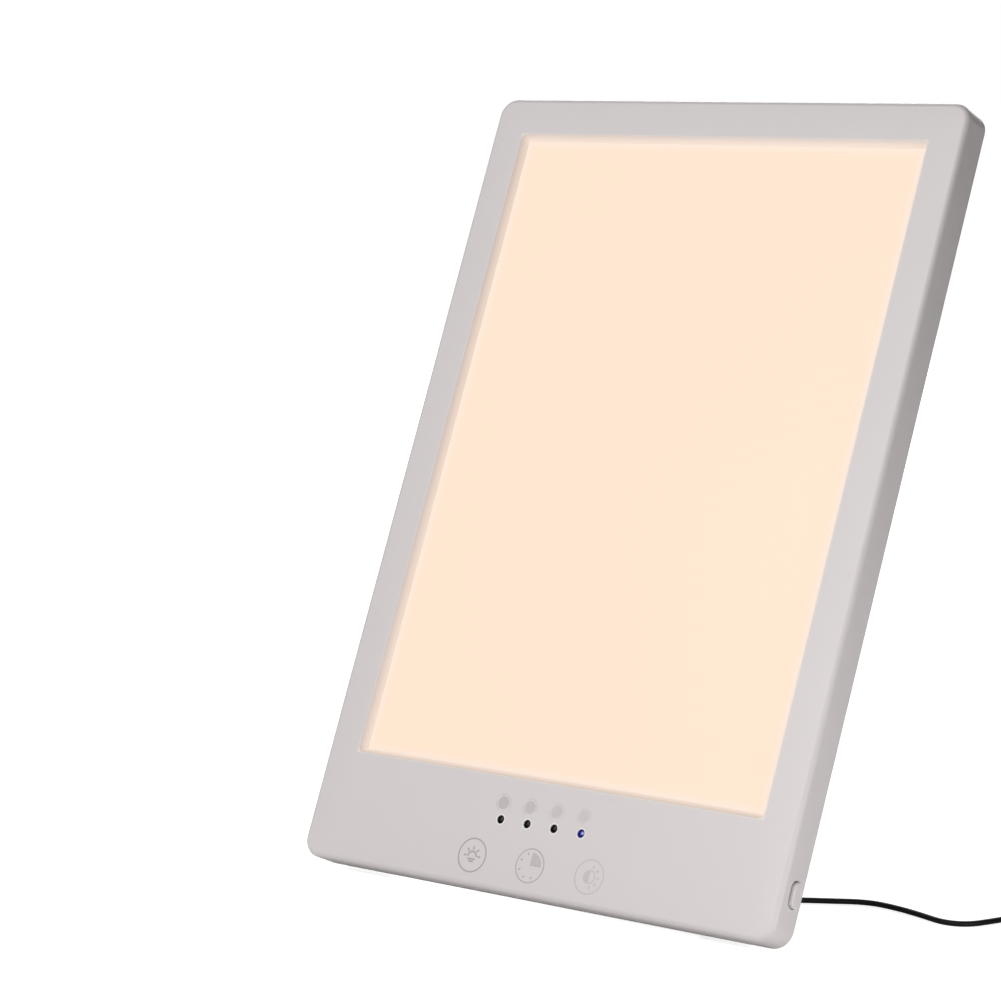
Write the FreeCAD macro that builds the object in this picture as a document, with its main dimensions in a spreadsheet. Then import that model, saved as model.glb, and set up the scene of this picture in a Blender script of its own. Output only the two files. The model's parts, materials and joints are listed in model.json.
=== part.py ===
import FreeCAD, Part
import math
import os

import Sketcher
from FreeCAD import Placement, Rotation, Vector

# Light therapy lamp: a slim edge-lit panel on a folding rear leg, with its lead put away in a coil.
# Panel coordinates: X across, Y up the panel from its lower edge, Z from the back plane to the face.
# All sizes are in millimetres and degrees.

SIZES = {
    "panel_width": 210.0,
    "panel_height": 300.0,
    "panel_depth": 13.0,
    "panel_corner": 7.0,
    "lean_angle": 23.23,
    "floor_lift": 0.3,
    "side_wall": 2.0,
    "front_wall": 2.8,
    "front_rounding": 2.0,
    "back_rounding": 1.2,
    "window_border": 14.2,
    "window_top_border": 14.5,
    "window_bottom": 40.8,
    "window_corner": 2.6,
    "bevel_width": 2.05,
    "bevel_depth": 2.5,
    "plate_overlap": 5.0,
    "diffuser_thickness": 1.5,
    "guide_thickness": 3.0,
    "reflector_thickness": 0.3,
    "back_plate_thickness": 0.8,
    "plate_flange": 6.4,
    "plate_side": 0.8,
    "plate_corner": 2.0,
    "strip_gap": 0.3,
    "strip_led_height": 0.8,
    "strip_led_length": 2.8,
    "strip_led_width": 2.6,
    "strip_thickness": 1.0,
    "strip_width": 3.2,
    "strip_led_count": 18,
    "cover_thickness": 2.0,
    "cover_gap": 0.2,
    "tub_wall": 1.2,
    "tub_floor": 1.1,
    "recess_depth": 3.2,
    "recess_corner": 1.5,
    "case_boss": 5.0,
    "case_boss_inset": 5.4,
    "case_boss_end": 9.0,
    "screw_shank": 2.2,
    "screw_hole": 2.3,
    "screw_clearance": 2.7,
    "screw_head": 4.4,
    "screw_head_height": 1.1,
    "screw_head_recess": 1.2,
    "screw_head_room": 0.5,
    "screw_bite": 5.0,
    "small_boss": 4.4,
    "small_head": 3.6,
    "small_head_height": 0.9,
    "plate_screw_x": 60.0,
    "plate_screw_drop": 3.7,
    "hinge_height": 190.0,
    "hinge_depth": 2.05,
    "hinge_pin": 2.0,
    "hinge_barrel": 4.0,
    "pin_clearance": 0.03,
    "pin_hole_room": 0.02,
    "barrel_room": 0.6,
    "ear_inner": 31.5,
    "ear_wall": 0.65,
    "ear_corner": 0.4,
    "washer_thickness": 1.2,
    "washer_gap": 0.15,
    "leg_width": 70.0,
    "leg_neck": 60.0,
    "leg_thickness": 2.8,
    "leg_inset": 0.2,
    "leg_gap": 0.8,
    "leg_corner": 6.0,
    "leg_shoulder": 6.0,
    "neck_root": 10.0,
    "neck_corner": 0.5,
    "leg_rib": 3.0,
    "leg_pocket": 1.3,
    "leg_opening": 31.95,
    "leg_pad_height": 2.5,
    "leg_pad_width": 54.0,
    "leg_pad_spare": 1.0,
    "stop_reach": 2.65,
    "stop_thickness": 0.6,
    "stop_gap": 0.1,
    "notch_radius": 9.0,
    "notch_depth": 1.3,
    "foot_pad_length": 20.0,
    "foot_pad_x": 80.0,
    "foot_pad_drop": 4.0,
    "foot_pad_near": 1.4,
    "foot_pad_far": 3.1,
    "board_width": 100.0,
    "board_bottom": 5.0,
    "board_height": 26.0,
    "board_thickness": 1.2,
    "board_corner": 1.0,
    "board_standoff": 4.0,
    "board_screw_inset": 4.0,
    "key_y": 11.1,
    "key_pitch": 25.8,
    "key_shift": -0.7,
    "touch_pad": 10.0,
    "indicator_y": 25.3,
    "indicator_pitch": 12.0,
    "indicator_hole": 3.1,
    "indicator_led": 2.9,
    "indicator_sink": 0.4,
    "indicator_tip": 0.87,
    "indicator_tip_end": 1.74,
    "button_y": 18.4,
    "button_z": 5.7,
    "button_length": 9.1,
    "button_width": 5.2,
    "button_gap": 0.35,
    "button_standout": 1.5,
    "button_travel": 1.0,
    "button_flange": 0.8,
    "button_flange_thickness": 1.0,
    "button_play": 0.1,
    "switch_length": 8.5,
    "switch_width": 7.8,
    "switch_gap": 2.3,
    "switch_rear_gap": 0.6,
    "plunger": 3.0,
    "plunger_depth": 3.9,
    "plunger_well_room": 0.3,
    "plunger_side_room": 0.2,
    "jack_x": 60.0,
    "jack_y": 18.4,
    "jack_body": 8.0,
    "jack_length": 9.6,
    "jack_bore": 5.7,
    "jack_bore_depth": 8.8,
    "jack_pin": 1.9,
    "jack_collar": 10.4,
    "jack_collar_height": 4.0,
    "jack_collar_root": 0.5,
    "jack_floor": 1.0,
    "jack_fit": 0.04,
    "plug_barrel": 5.5,
    "plug_barrel_bore": 2.1,
    "plug_barrel_length": 8.5,
    "plug_body": 9.0,
    "plug_body_length": 16.0,
    "plug_gap": 0.3,
    "relief_length": 14.0,
    "relief_start": 5.4,
    "relief_end": 3.0,
    "wire": 1.0,
    "cord_diameter": 2.0,
    "coil_gap": 0.45,
    "coil_lift": 0.5,
    "tie_thickness": 0.4,
    "tie_width": 6.0,
    "tie_room": 0.08,
    "usb_relief_length": 15.0,
    "usb_relief_start": 2.5,
    "usb_relief_end": 5.8,
    "usb_body_length": 24.0,
    "usb_body_width": 15.6,
    "usb_body_rounding": 1.6,
    "usb_shell_length": 12.0,
    "usb_shell_width": 12.0,
    "usb_shell_height": 4.5,
    "usb_shell_wall": 0.4,
    "usb_tongue": 1.8,
    "usb_tongue_rise": 1.9,
    "usb_tongue_gap": 0.1,
    "usb_tongue_sink": 1.0,
}

# Counts and places along the object
CASE_SCREW_SHARES = (0.0, 0.335, 0.67, 1.0)
HALF_TURNS_PER_LAYER = 11
LEG_CELLS = 3
CUT_SPARE = 1.0
FLOOR_REACH = 400.0
SHEET_NAME = "Sizes"

# Blocks on the board's front: both values across, both up the panel, and the height
BOARD_CHIPS = {
    "chip": ((-14.0, -5.0), (15.0, 20.0), 1.2),
    "choke": ((33.0, 40.0), (19.0, 26.0), 3.2),
}
BOARD_PLUGS = {
    "plug_left": ((-49.0, -44.0), (14.0, 18.0), 3.7),
    "plug_right": ((44.0, 49.0), (14.0, 22.0), 3.7),
}
CAPACITOR = {"diameter": 5.0, "place": (38.0, 12.0), "height": 3.4}

# The lead's route on the surface that the lamp stands on, after the two points that the plug gives
LEAD_ROUTE = (
    (61.5, 0.5),
    (66.5, 5.6),
    (76.0, 11.5),
    (88.0, 19.2),
    (101.0, 18.0),
    (112.5, 14.9),
    (124.0, 10.8),
    (132.0, 14.0),
    (135.6, 22.5),
    (138.5, 31.0),
)
COIL_ENTRY = (140.4, 48.0)
COIL_LAST_RUN = 8.0

doc = FreeCAD.newDocument("TherapyLamp")
sheet = doc.addObject("Spreadsheet::Sheet", SHEET_NAME)
parts = {}


class Size:
    """A length with both its number and the formula on the sheet that gives it."""

    def __init__(self, value, text):
        self.value = float(value)
        self.text = text

    def __add__(self, other):
        other = as_size(other)
        return Size(self.value + other.value, f"({self.text} + {other.text})")

    __radd__ = __add__

    def __sub__(self, other):
        other = as_size(other)
        return Size(self.value - other.value, f"({self.text} - {other.text})")

    def __rsub__(self, other):
        return as_size(other) - self

    def __mul__(self, other):
        other = as_size(other)
        return Size(self.value * other.value, f"({self.text} * {other.text})")

    __rmul__ = __mul__

    def __truediv__(self, other):
        other = as_size(other)
        return Size(self.value / other.value, f"({self.text} / {other.text})")

    def __neg__(self):
        return Size(-self.value, f"(0 - {self.text})")


def as_size(number):
    """The number itself as a Size, or the Size that it already is."""
    return number if isinstance(number, Size) else Size(number, f"{number:g}")


class Sheet:
    """The named sizes, read as attributes."""

    def __getattr__(self, name):
        return Size(SIZES[name], f"{SHEET_NAME}.{name}")


S = Sheet()


def fill_sheet():
    """Write each named size to a cell of its own."""
    for row, (name, value) in enumerate(SIZES.items(), start=1):
        sheet.set(f"A{row}", name)
        sheet.set(f"B{row}", str(value))
        sheet.setAlias(f"B{row}", name)
    doc.recompute()


def bind(obj, **properties):
    """Tie properties of an object to the sheet; an underscore in a name stands for a dot."""
    for name, value in properties.items():
        path = name.replace("_", ".")
        obj.setExpression(path, as_size(value).text)
    return obj


def keep(obj, name):
    """Name a finished piece and list it; a lone primitive is wrapped, so that it is placed as a whole."""
    if any("Placement" in path for path, _ in obj.ExpressionEngine):
        obj = grouped(f"{name}_whole", [obj])
    obj.Label = name
    parts[name] = obj
    return obj


# Building blocks made of primitives


def block(name, x, y, z):
    """A box between the two values of each of x, y and z."""
    box = doc.addObject("Part::Box", name)
    bind(box, Length=x[1] - x[0], Width=y[1] - y[0], Height=z[1] - z[0])
    return bind(box, Placement_Base_x=x[0], Placement_Base_y=y[0], Placement_Base_z=z[0])


def rod(name, diameter, x, y, z, length):
    """A cylinder along Z from the given base."""
    cylinder = doc.addObject("Part::Cylinder", name)
    bind(cylinder, Radius=diameter / 2, Height=length)
    return bind(cylinder, Placement_Base_x=x, Placement_Base_y=y, Placement_Base_z=z)


def cross_rod(name, diameter, x, y, z, length):
    """A cylinder along X from the given base."""
    cylinder = rod(name, diameter, x, y, z, length)
    cylinder.Placement.Rotation = Rotation(Vector(0, 1, 0), 90)
    return cylinder


def cone(name, first, last, x, y, z, length):
    """A truncated cone along Z, from its first diameter to its last."""
    taper = doc.addObject("Part::Cone", name)
    bind(taper, Radius1=first / 2, Radius2=last / 2, Height=length)
    return bind(taper, Placement_Base_x=x, Placement_Base_y=y, Placement_Base_z=z)


def joined(name, pieces):
    """Several solids made one."""
    fusion = doc.addObject("Part::MultiFuse", name)
    fusion.Shapes = pieces
    return fusion


def grouped(name, pieces):
    """One or more separate solids under one name."""
    group = doc.addObject("Part::Compound", name)
    group.Links = pieces
    return group


def without(name, base, tool):
    """One solid with another taken out of it."""
    rest = doc.addObject("Part::Cut", name)
    rest.Base = base
    rest.Tool = tool
    return rest


# Building blocks made of sketches


def new_body(name):
    """A body that sketches and features are added to."""
    return doc.addObject("PartDesign::Body", name)


def new_sketch(body, name, role, offset):
    """An empty sketch on one of the body's own planes, moved along the plane's normal."""
    sketch = body.newObject("Sketcher::SketchObject", name)
    plane = next(f for f in body.Origin.OriginFeatures if f.Role == role)
    sketch.AttachmentSupport = (plane, [""])
    sketch.MapMode = "FlatFace"
    sketch.setExpression(".AttachmentOffset.Base.z", as_size(offset).text)
    return sketch


def tie(sketch, kind, places, value):
    """Add a constraint whose value is a formula on the sheet."""
    index = sketch.addConstraint(Sketcher.Constraint(kind, *places, value.value))
    sketch.setExpression(f"Constraints[{index}]", value.text)


def add_rounded_rectangle(sketch, x, y, radius):
    """A rectangle with round corners, tied by its four sides and its radius."""
    left, right, low, high = x[0].value, x[1].value, y[0].value, y[1].value
    r = radius.value
    first = sketch.GeometryCount
    middles = ((right - r, low + r), (right - r, high - r), (left + r, high - r), (left + r, low + r))
    angles = (270, 0, 90, 180)
    starts = ((left + r, low), (right, low + r), (right - r, high), (left, high - r))
    ends = ((right - r, low), (right, high - r), (left + r, high), (left, low + r))
    for (sx, sy), (ex, ey), (cx, cy), angle in zip(starts, ends, middles, angles):
        sketch.addGeometry(Part.LineSegment(Vector(sx, sy, 0), Vector(ex, ey, 0)))
        circle = Part.Circle(Vector(cx, cy, 0), Vector(0, 0, 1), r)
        begin = math.radians(angle)
        sketch.addGeometry(Part.ArcOfCircle(circle, begin, begin + math.pi / 2))
    for side in range(4):
        line = first + 2 * side
        arc = line + 1
        following = first + 2 * ((side + 1) % 4)
        sketch.addConstraint(Sketcher.Constraint("Tangent", line, 2, arc, 1))
        sketch.addConstraint(Sketcher.Constraint("Tangent", arc, 2, following, 1))
        sketch.addConstraint(Sketcher.Constraint("Vertical" if side % 2 else "Horizontal", line))
        if side:
            sketch.addConstraint(Sketcher.Constraint("Equal", first + 1, arc))
    tie(sketch, "Radius", (first + 1,), radius)
    tie(sketch, "DistanceX", (-1, 1, first + 2, 1), x[1])
    tie(sketch, "DistanceX", (-1, 1, first + 6, 1), x[0])
    tie(sketch, "DistanceY", (-1, 1, first, 1), y[0])
    tie(sketch, "DistanceY", (-1, 1, first + 4, 1), y[1])


def add_circle(sketch, x, y, diameter):
    """A circle tied by its centre and its diameter."""
    circle = Part.Circle(Vector(x.value, y.value, 0), Vector(0, 0, 1), diameter.value / 2)
    index = sketch.addGeometry(circle)
    tie(sketch, "Radius", (index,), diameter / 2)
    if abs(x.value) < 1e-9:
        sketch.addConstraint(Sketcher.Constraint("PointOnObject", index, 3, -2))
    else:
        tie(sketch, "DistanceX", (-1, 1, index, 3), x)
    tie(sketch, "DistanceY", (-1, 1, index, 3), y)


def feature(body, kind, name, sketch, length, reversed_way=False, midplane=False):
    """A pad or a pocket of a sketch."""
    result = body.newObject(f"PartDesign::{kind}", name)
    result.Profile = sketch
    result.setExpression("Length", as_size(length).text)
    result.Reversed = reversed_way
    result.Midplane = midplane
    sketch.Visibility = False
    body.Tip = result
    return result


def pad(body, name, sketch, length):
    """Material added along the sketch's normal."""
    return feature(body, "Pad", name, sketch, length)


def pocket_up(body, name, sketch, length):
    """A pocket that cuts along the sketch's normal."""
    return feature(body, "Pocket", name, sketch, length, True)


def pocket_down(body, name, sketch, length):
    """A pocket that cuts against the sketch's normal."""
    return feature(body, "Pocket", name, sketch, length, False)


def edges_where(shape, test):
    """The names of the edges of which every point passes the test."""
    names = []
    for number, edge in enumerate(shape.Edges, start=1):
        first, last = edge.ParameterRange
        points = [edge.valueAt(first + (last - first) * step / 4) for step in range(5)]
        if all(test(point) for point in points):
            names.append(f"Edge{number}")
    return names


def round_edges(body, name, base, edges, radius):
    """Fillet the named edges of the feature that came before."""
    rounding = body.newObject("PartDesign::Fillet", name)
    rounding.Base = (base, edges)
    rounding.setExpression("Radius", radius.text)
    body.Tip = rounding
    return rounding


# Places that several pieces share


def half(size):
    """The two ends of a length that is centred on zero."""
    return -(size / 2), size / 2


WINDOW_X = (-(S.panel_width / 2) + S.window_border, S.panel_width / 2 - S.window_border)
WINDOW_Y = (S.window_bottom, S.panel_height - S.window_top_border)
OPENING_X = (WINDOW_X[0] + S.bevel_width, WINDOW_X[1] - S.bevel_width)
OPENING_Y = (WINDOW_Y[0] + S.bevel_width, WINDOW_Y[1] - S.bevel_width)
PLATE_X = (OPENING_X[0] - S.plate_overlap, OPENING_X[1] + S.plate_overlap)
PLATE_Y = (OPENING_Y[0] - S.plate_overlap, OPENING_Y[1] + S.plate_overlap)

CEILING = S.panel_depth - S.front_wall
DIFFUSER_BACK = CEILING - S.diffuser_thickness
GUIDE_BACK = DIFFUSER_BACK - S.guide_thickness
REFLECTOR_BACK = GUIDE_BACK - S.reflector_thickness
BACK_PLATE_BACK = REFLECTOR_BACK - S.back_plate_thickness
PLATE_SIDE = S.strip_gap + S.strip_led_height + S.strip_thickness + S.plate_side
BACK_PLATE_X = (PLATE_X[0] - PLATE_SIDE, PLATE_X[1] + PLATE_SIDE)
BACK_PLATE_Y = (PLATE_Y[0] - S.plate_flange, PLATE_Y[1] + S.plate_flange)

RECESS_X = (-(S.leg_width / 2) - S.leg_gap, S.leg_width / 2 + S.leg_gap)
RECESS_TOP = S.hinge_height + S.stop_reach + S.stop_gap
BOARD_X = half(S.board_width)
BOARD_Y = (S.board_bottom, S.board_bottom + S.board_height)
BOARD_FRONT = CEILING - S.board_standoff
BOARD_BACK = BOARD_FRONT - S.board_thickness

lean = math.radians(SIZES["lean_angle"])
opening = math.radians(SIZES["leg_opening"])
HINGE_RISE = (
    SIZES["floor_lift"]
    + SIZES["hinge_height"] * math.cos(lean)
    + SIZES["hinge_depth"] * math.sin(lean)
)
LEG_REACH = HINGE_RISE / math.cos(opening - lean)
LEG_END = SIZES["hinge_height"] - LEG_REACH


def case_screw_places():
    """Where the screws that hold the rear cover stand."""
    low = S.case_boss_end
    span = S.panel_height - S.case_boss_end * 2
    side = S.panel_width / 2 - S.case_boss_inset
    return [(x, low + span * share) for x in (-side, side) for share in CASE_SCREW_SHARES]


def plate_screw_places():
    """Where the screws that hold the metal back plate stand."""
    low = PLATE_Y[0] - S.plate_screw_drop
    high = PLATE_Y[1] + S.plate_screw_drop
    return [(x, y) for x in (-S.plate_screw_x, S.plate_screw_x) for y in (low, high)]


def board_screw_places():
    """Where the screws that hold the control board stand."""
    side = S.board_width / 2 - S.board_screw_inset
    low = BOARD_Y[0] + S.board_screw_inset
    high = BOARD_Y[1] - S.board_screw_inset
    return [(x, y) for x in (-side, side) for y in (low, high)]


def indicator_places():
    """The centres of the four indicator lights, left to right."""
    return [S.indicator_pitch * (number - 1.5) for number in range(4)]


def key_places():
    """The centres of the three touch keys, left to right."""
    return [S.key_shift + S.key_pitch * number for number in (-1, 0, 1)]


# The front housing


def front_housing():
    """The moulded front: face, side walls, window, bosses and button slot in one piece."""
    body = new_body("front_housing")
    outline = new_sketch(body, "housing_outline", "XY_Plane", 0)
    add_rounded_rectangle(outline, half(S.panel_width), (as_size(0), S.panel_height), S.panel_corner)
    block_pad = pad(body, "housing_block", outline, S.panel_depth)
    doc.recompute()
    face = SIZES["panel_depth"]
    front_edges = edges_where(block_pad.Shape, lambda p: abs(p.z - face) < 1e-6)
    front_round = round_edges(body, "face_rounding", block_pad, front_edges, S.front_rounding)
    doc.recompute()
    back_edges = edges_where(front_round.Shape, lambda p: abs(p.z) < 1e-6)
    round_edges(body, "back_rounding_edge", front_round, back_edges, S.back_rounding)
    hollow_housing(body)
    cut_window(body)
    add_bosses(body)
    cut_button_slot(body)
    return keep(body, "front_housing")


def hollow_housing(body):
    """The room for everything inside, open at the back."""
    inner_x = half(S.panel_width - S.side_wall * 2)
    inner_y = (S.side_wall, S.panel_height - S.side_wall)
    cavity = new_sketch(body, "cavity_outline", "XY_Plane", 0)
    add_rounded_rectangle(cavity, inner_x, inner_y, S.panel_corner - S.side_wall)
    pocket_up(body, "cavity", cavity, CEILING)


def cut_window(body):
    """The window with its sloping bevel, and the four holes of the indicators."""
    opening_sketch = new_sketch(body, "window_opening", "XY_Plane", CEILING)
    add_rounded_rectangle(opening_sketch, OPENING_X, OPENING_Y, S.window_corner - S.bevel_width)
    pocket_up(body, "window", opening_sketch, S.front_wall)
    foot = new_sketch(body, "bevel_foot", "XY_Plane", S.panel_depth - S.bevel_depth)
    add_rounded_rectangle(foot, OPENING_X, OPENING_Y, S.window_corner - S.bevel_width)
    rim = new_sketch(body, "bevel_rim", "XY_Plane", S.panel_depth)
    add_rounded_rectangle(rim, WINDOW_X, WINDOW_Y, S.window_corner)
    bevel = body.newObject("PartDesign::SubtractiveLoft", "window_bevel")
    bevel.Profile = foot
    bevel.Sections = [rim]
    bevel.Ruled = True
    body.Tip = bevel
    holes = new_sketch(body, "indicator_holes", "XY_Plane", CEILING)
    for x in indicator_places():
        add_circle(holes, x, S.indicator_y, S.indicator_hole)
    pocket_up(body, "indicator_bores", holes, S.front_wall)


def add_boss_row(body, name, places, diameter, top, foot):
    """Hollow screw bosses from the ceiling down to a level."""
    rings = new_sketch(body, f"{name}_rings", "XY_Plane", foot)
    for x, y in places:
        add_circle(rings, x, y, diameter)
        add_circle(rings, x, y, S.screw_hole)
    pad(body, name, rings, top - foot)


def add_bosses(body):
    """The bosses of the rear cover, the back plate and the board."""
    add_boss_row(body, "case_bosses", case_screw_places(), S.case_boss, CEILING, S.cover_thickness)
    add_boss_row(body, "plate_bosses", plate_screw_places(), S.small_boss, CEILING, REFLECTOR_BACK)
    add_boss_row(body, "board_bosses", board_screw_places(), S.small_boss, CEILING, BOARD_FRONT)


def button_outline(margin):
    """The button's outline on the side wall, with a margin all round."""
    reach_y = S.button_length / 2 + margin
    reach_z = S.button_width / 2 + margin
    return (
        (S.button_y - reach_y, S.button_y + reach_y),
        (S.button_z - reach_z, S.button_z + reach_z),
        reach_z - 0.05,
    )


def cut_button_slot(body):
    """The slot in the right-hand wall that the power button slides in."""
    slot = new_sketch(body, "button_slot", "YZ_Plane", S.panel_width / 2 - S.side_wall - CUT_SPARE)
    add_rounded_rectangle(slot, *button_outline(S.button_gap))
    pocket_up(body, "button_opening", slot, S.side_wall + CUT_SPARE * 2)


# The light stack behind the window


def light_stack():
    """The diffuser, the light guide, the reflector, the two light strips and the plate behind them."""
    keep(block("diffuser", PLATE_X, PLATE_Y, (DIFFUSER_BACK, CEILING)), "diffuser_plate")
    keep(block("light_guide", PLATE_X, PLATE_Y, (GUIDE_BACK, DIFFUSER_BACK)), "light_guide_plate")
    keep(block("reflector", PLATE_X, PLATE_Y, (REFLECTOR_BACK, GUIDE_BACK)), "reflector_sheet")
    for side, name in ((-1, "left"), (1, "right")):
        led_strip(side, name)
    back_plate()


def led_strip(side, name):
    """A strip with its lights, facing the edge of the light guide."""
    edge = PLATE_X[1] + S.strip_gap
    lit = edge + S.strip_led_height
    middle = (GUIDE_BACK + DIFFUSER_BACK) / 2
    near, far = (lit, lit + S.strip_thickness) if side > 0 else (-lit - S.strip_thickness, -lit)
    deep = (middle - S.strip_width / 2, middle + S.strip_width / 2)
    keep(block(f"strip_{name}", (near, far), PLATE_Y, deep), f"led_strip_{name}")
    near, far = (edge, lit) if side > 0 else (-lit, -edge)
    pitch = (PLATE_Y[1] - PLATE_Y[0]) / S.strip_led_count
    high = (middle - S.strip_led_width / 2, middle + S.strip_led_width / 2)
    lights = []
    for number in range(int(SIZES["strip_led_count"])):
        low = PLATE_Y[0] + pitch * (number + 0.5) - S.strip_led_length / 2
        lights.append(block(f"light_{name}", (near, far), (low, low + S.strip_led_length), high))
    keep(grouped(f"lights_{name}", lights), f"strip_leds_{name}")


def back_plate():
    """The metal plate that presses the stack together, screwed to four bosses."""
    body = new_body("back_plate")
    outline = new_sketch(body, "plate_outline", "XY_Plane", BACK_PLATE_BACK)
    add_rounded_rectangle(outline, BACK_PLATE_X, BACK_PLATE_Y, S.plate_corner)
    pad(body, "plate_sheet", outline, S.back_plate_thickness)
    holes = new_sketch(body, "plate_holes", "XY_Plane", BACK_PLATE_BACK)
    for x, y in plate_screw_places():
        add_circle(holes, x, y, S.screw_clearance)
    pocket_up(body, "plate_bores", holes, S.back_plate_thickness)
    keep(body, "back_plate")


# Screws


def screws(name, places, head, head_height, seat):
    """Screws whose heads lie under a seat, with their shanks in the bosses above it."""
    every = []
    for x, y in places:
        shank = rod("shank", S.screw_shank, x, y, seat, S.screw_bite)
        cap = rod("head", head, x, y, seat - head_height, head_height)
        every.append(joined("screw", [cap, shank]))
    keep(grouped(f"{name}_group", every), name)


def all_screws():
    """The screws of the rear cover, the back plate and the board."""
    seat = as_size(S.screw_head_recess)
    screws("case_screws", case_screw_places(), S.screw_head, S.screw_head_height, seat)
    screws("back_plate_screws", plate_screw_places(), S.small_head, S.small_head_height, BACK_PLATE_BACK)
    screws("board_screws", board_screw_places(), S.small_head, S.small_head_height, BOARD_BACK)


# The rear cover


def rear_cover():
    """The cover that closes the housing, with the leg's recess and hinge in it."""
    body = new_body("rear_cover")
    inset = S.side_wall + S.cover_gap
    outline = new_sketch(body, "cover_outline", "XY_Plane", 0)
    cover_y = (inset, S.panel_height - inset)
    add_rounded_rectangle(outline, half(S.panel_width - inset * 2), cover_y, S.panel_corner - inset)
    pad(body, "cover_sheet", outline, S.cover_thickness)
    low = as_size(LEG_END) - S.leg_gap
    tub = new_sketch(body, "tub_outline", "XY_Plane", 0)
    tub_x = (RECESS_X[0] - S.tub_wall, RECESS_X[1] + S.tub_wall)
    tub_y = (low - S.tub_wall, RECESS_TOP + S.tub_wall)
    add_rounded_rectangle(tub, tub_x, tub_y, S.leg_corner + S.tub_wall)
    pad(body, "tub", tub, S.recess_depth + S.tub_floor)
    recess = new_sketch(body, "recess_outline", "XY_Plane", 0)
    add_rounded_rectangle(recess, RECESS_X, (low, RECESS_TOP), S.recess_corner)
    pocket_up(body, "recess", recess, S.recess_depth)
    cut_hinge_window(body)
    add_hinge_ears(body)
    cut_cover_holes(body, low)
    add_jack_collar(body)
    return keep(body, "rear_cover")


def cut_hinge_window(body):
    """A slot in the recess floor that gives the hinge barrel room to turn."""
    window = new_sketch(body, "hinge_window", "XY_Plane", S.recess_depth)
    reach = S.hinge_barrel / 2 + S.barrel_room
    window_y = (S.hinge_height - reach, S.hinge_height + reach)
    add_rounded_rectangle(window, (-S.ear_inner, S.ear_inner), window_y, S.neck_corner)
    pocket_up(body, "hinge_slot", window, S.tub_floor)


def add_hinge_ears(body):
    """The two ears that hold the pin, one at each side of the recess."""
    ears = new_sketch(body, "ear_outlines", "XY_Plane", S.leg_inset)
    reach = S.hinge_barrel / 2 + S.ear_wall
    ear_y = (S.hinge_height - reach, S.hinge_height + reach)
    overlap = RECESS_X[1] + S.tub_wall / 2
    add_rounded_rectangle(ears, (S.ear_inner, overlap), ear_y, S.ear_corner)
    add_rounded_rectangle(ears, (-overlap, -S.ear_inner), ear_y, S.ear_corner)
    pad(body, "ears", ears, S.recess_depth - S.leg_inset + S.tub_floor / 2)
    hole = new_sketch(body, "pin_hole", "YZ_Plane", 0)
    add_circle(hole, S.hinge_height, S.hinge_depth, S.hinge_pin + S.pin_hole_room)
    length = (RECESS_X[1] + S.tub_wall + CUT_SPARE) * 2
    feature(body, "Pocket", "pin_bore", hole, length, midplane=True)


def cut_cover_holes(body, low):
    """Screw holes with their head recesses, the jack's hole and the finger notch."""
    bores = new_sketch(body, "screw_bores", "XY_Plane", 0)
    heads = new_sketch(body, "head_recesses", "XY_Plane", 0)
    for x, y in case_screw_places():
        add_circle(bores, x, y, S.screw_clearance)
        add_circle(heads, x, y, S.screw_head + S.screw_head_room)
    add_circle(bores, S.jack_x, S.jack_y, S.jack_body + S.jack_fit * 2)
    pocket_up(body, "through_bores", bores, S.cover_thickness)
    pocket_up(body, "head_pockets", heads, S.screw_head_recess)
    notch = new_sketch(body, "finger_notch", "XY_Plane", 0)
    add_circle(notch, as_size(0), low + 2, S.notch_radius * 2)
    pocket_up(body, "notch", notch, S.notch_depth)


def add_jack_collar(body):
    """The collar inside the cover that the power jack sits in."""
    collar = new_sketch(body, "collar_ring", "XY_Plane", S.cover_thickness - S.jack_collar_root)
    add_circle(collar, S.jack_x, S.jack_y, S.jack_collar)
    add_circle(collar, S.jack_x, S.jack_y, S.jack_body + S.jack_fit * 2)
    pad(body, "jack_collar_ring", collar, S.jack_collar_height + S.jack_collar_root)


# The folding leg, drawn folded into its recess


def stand_leg():
    """The leg: a plate with a narrower neck at its hinge and three cells in its inner side."""
    body = new_body("leg_plate")
    outline = new_sketch(body, "leg_outline", "XY_Plane", S.leg_inset)
    plate_y = (as_size(LEG_END) + S.leg_pad_height, S.hinge_height - S.leg_shoulder)
    add_rounded_rectangle(outline, half(S.leg_width), plate_y, S.leg_corner)
    pad(body, "leg_sheet", outline, S.leg_thickness)
    neck = new_sketch(body, "neck_outline", "XY_Plane", S.leg_inset)
    neck_y = (plate_y[1] - S.neck_root, S.hinge_height)
    add_rounded_rectangle(neck, half(S.leg_neck), neck_y, S.neck_corner)
    pad(body, "leg_neck_sheet", neck, S.leg_thickness)
    cells = new_sketch(body, "rib_cells", "XY_Plane", S.leg_inset + S.leg_thickness)
    cell_x = (-(S.leg_width / 2) + S.leg_rib * 2, S.leg_width / 2 - S.leg_rib * 2)
    first = plate_y[0] + S.leg_rib * 2
    cell = (plate_y[1] - plate_y[0] - S.leg_rib * (LEG_CELLS + 3)) / LEG_CELLS
    for number in range(LEG_CELLS):
        low = first + (cell + S.leg_rib) * number
        add_rounded_rectangle(cells, cell_x, (low, low + cell), S.leg_corner / 2)
    pocket_down(body, "leg_cells", cells, S.leg_pocket)
    return finish_leg(body)


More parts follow.
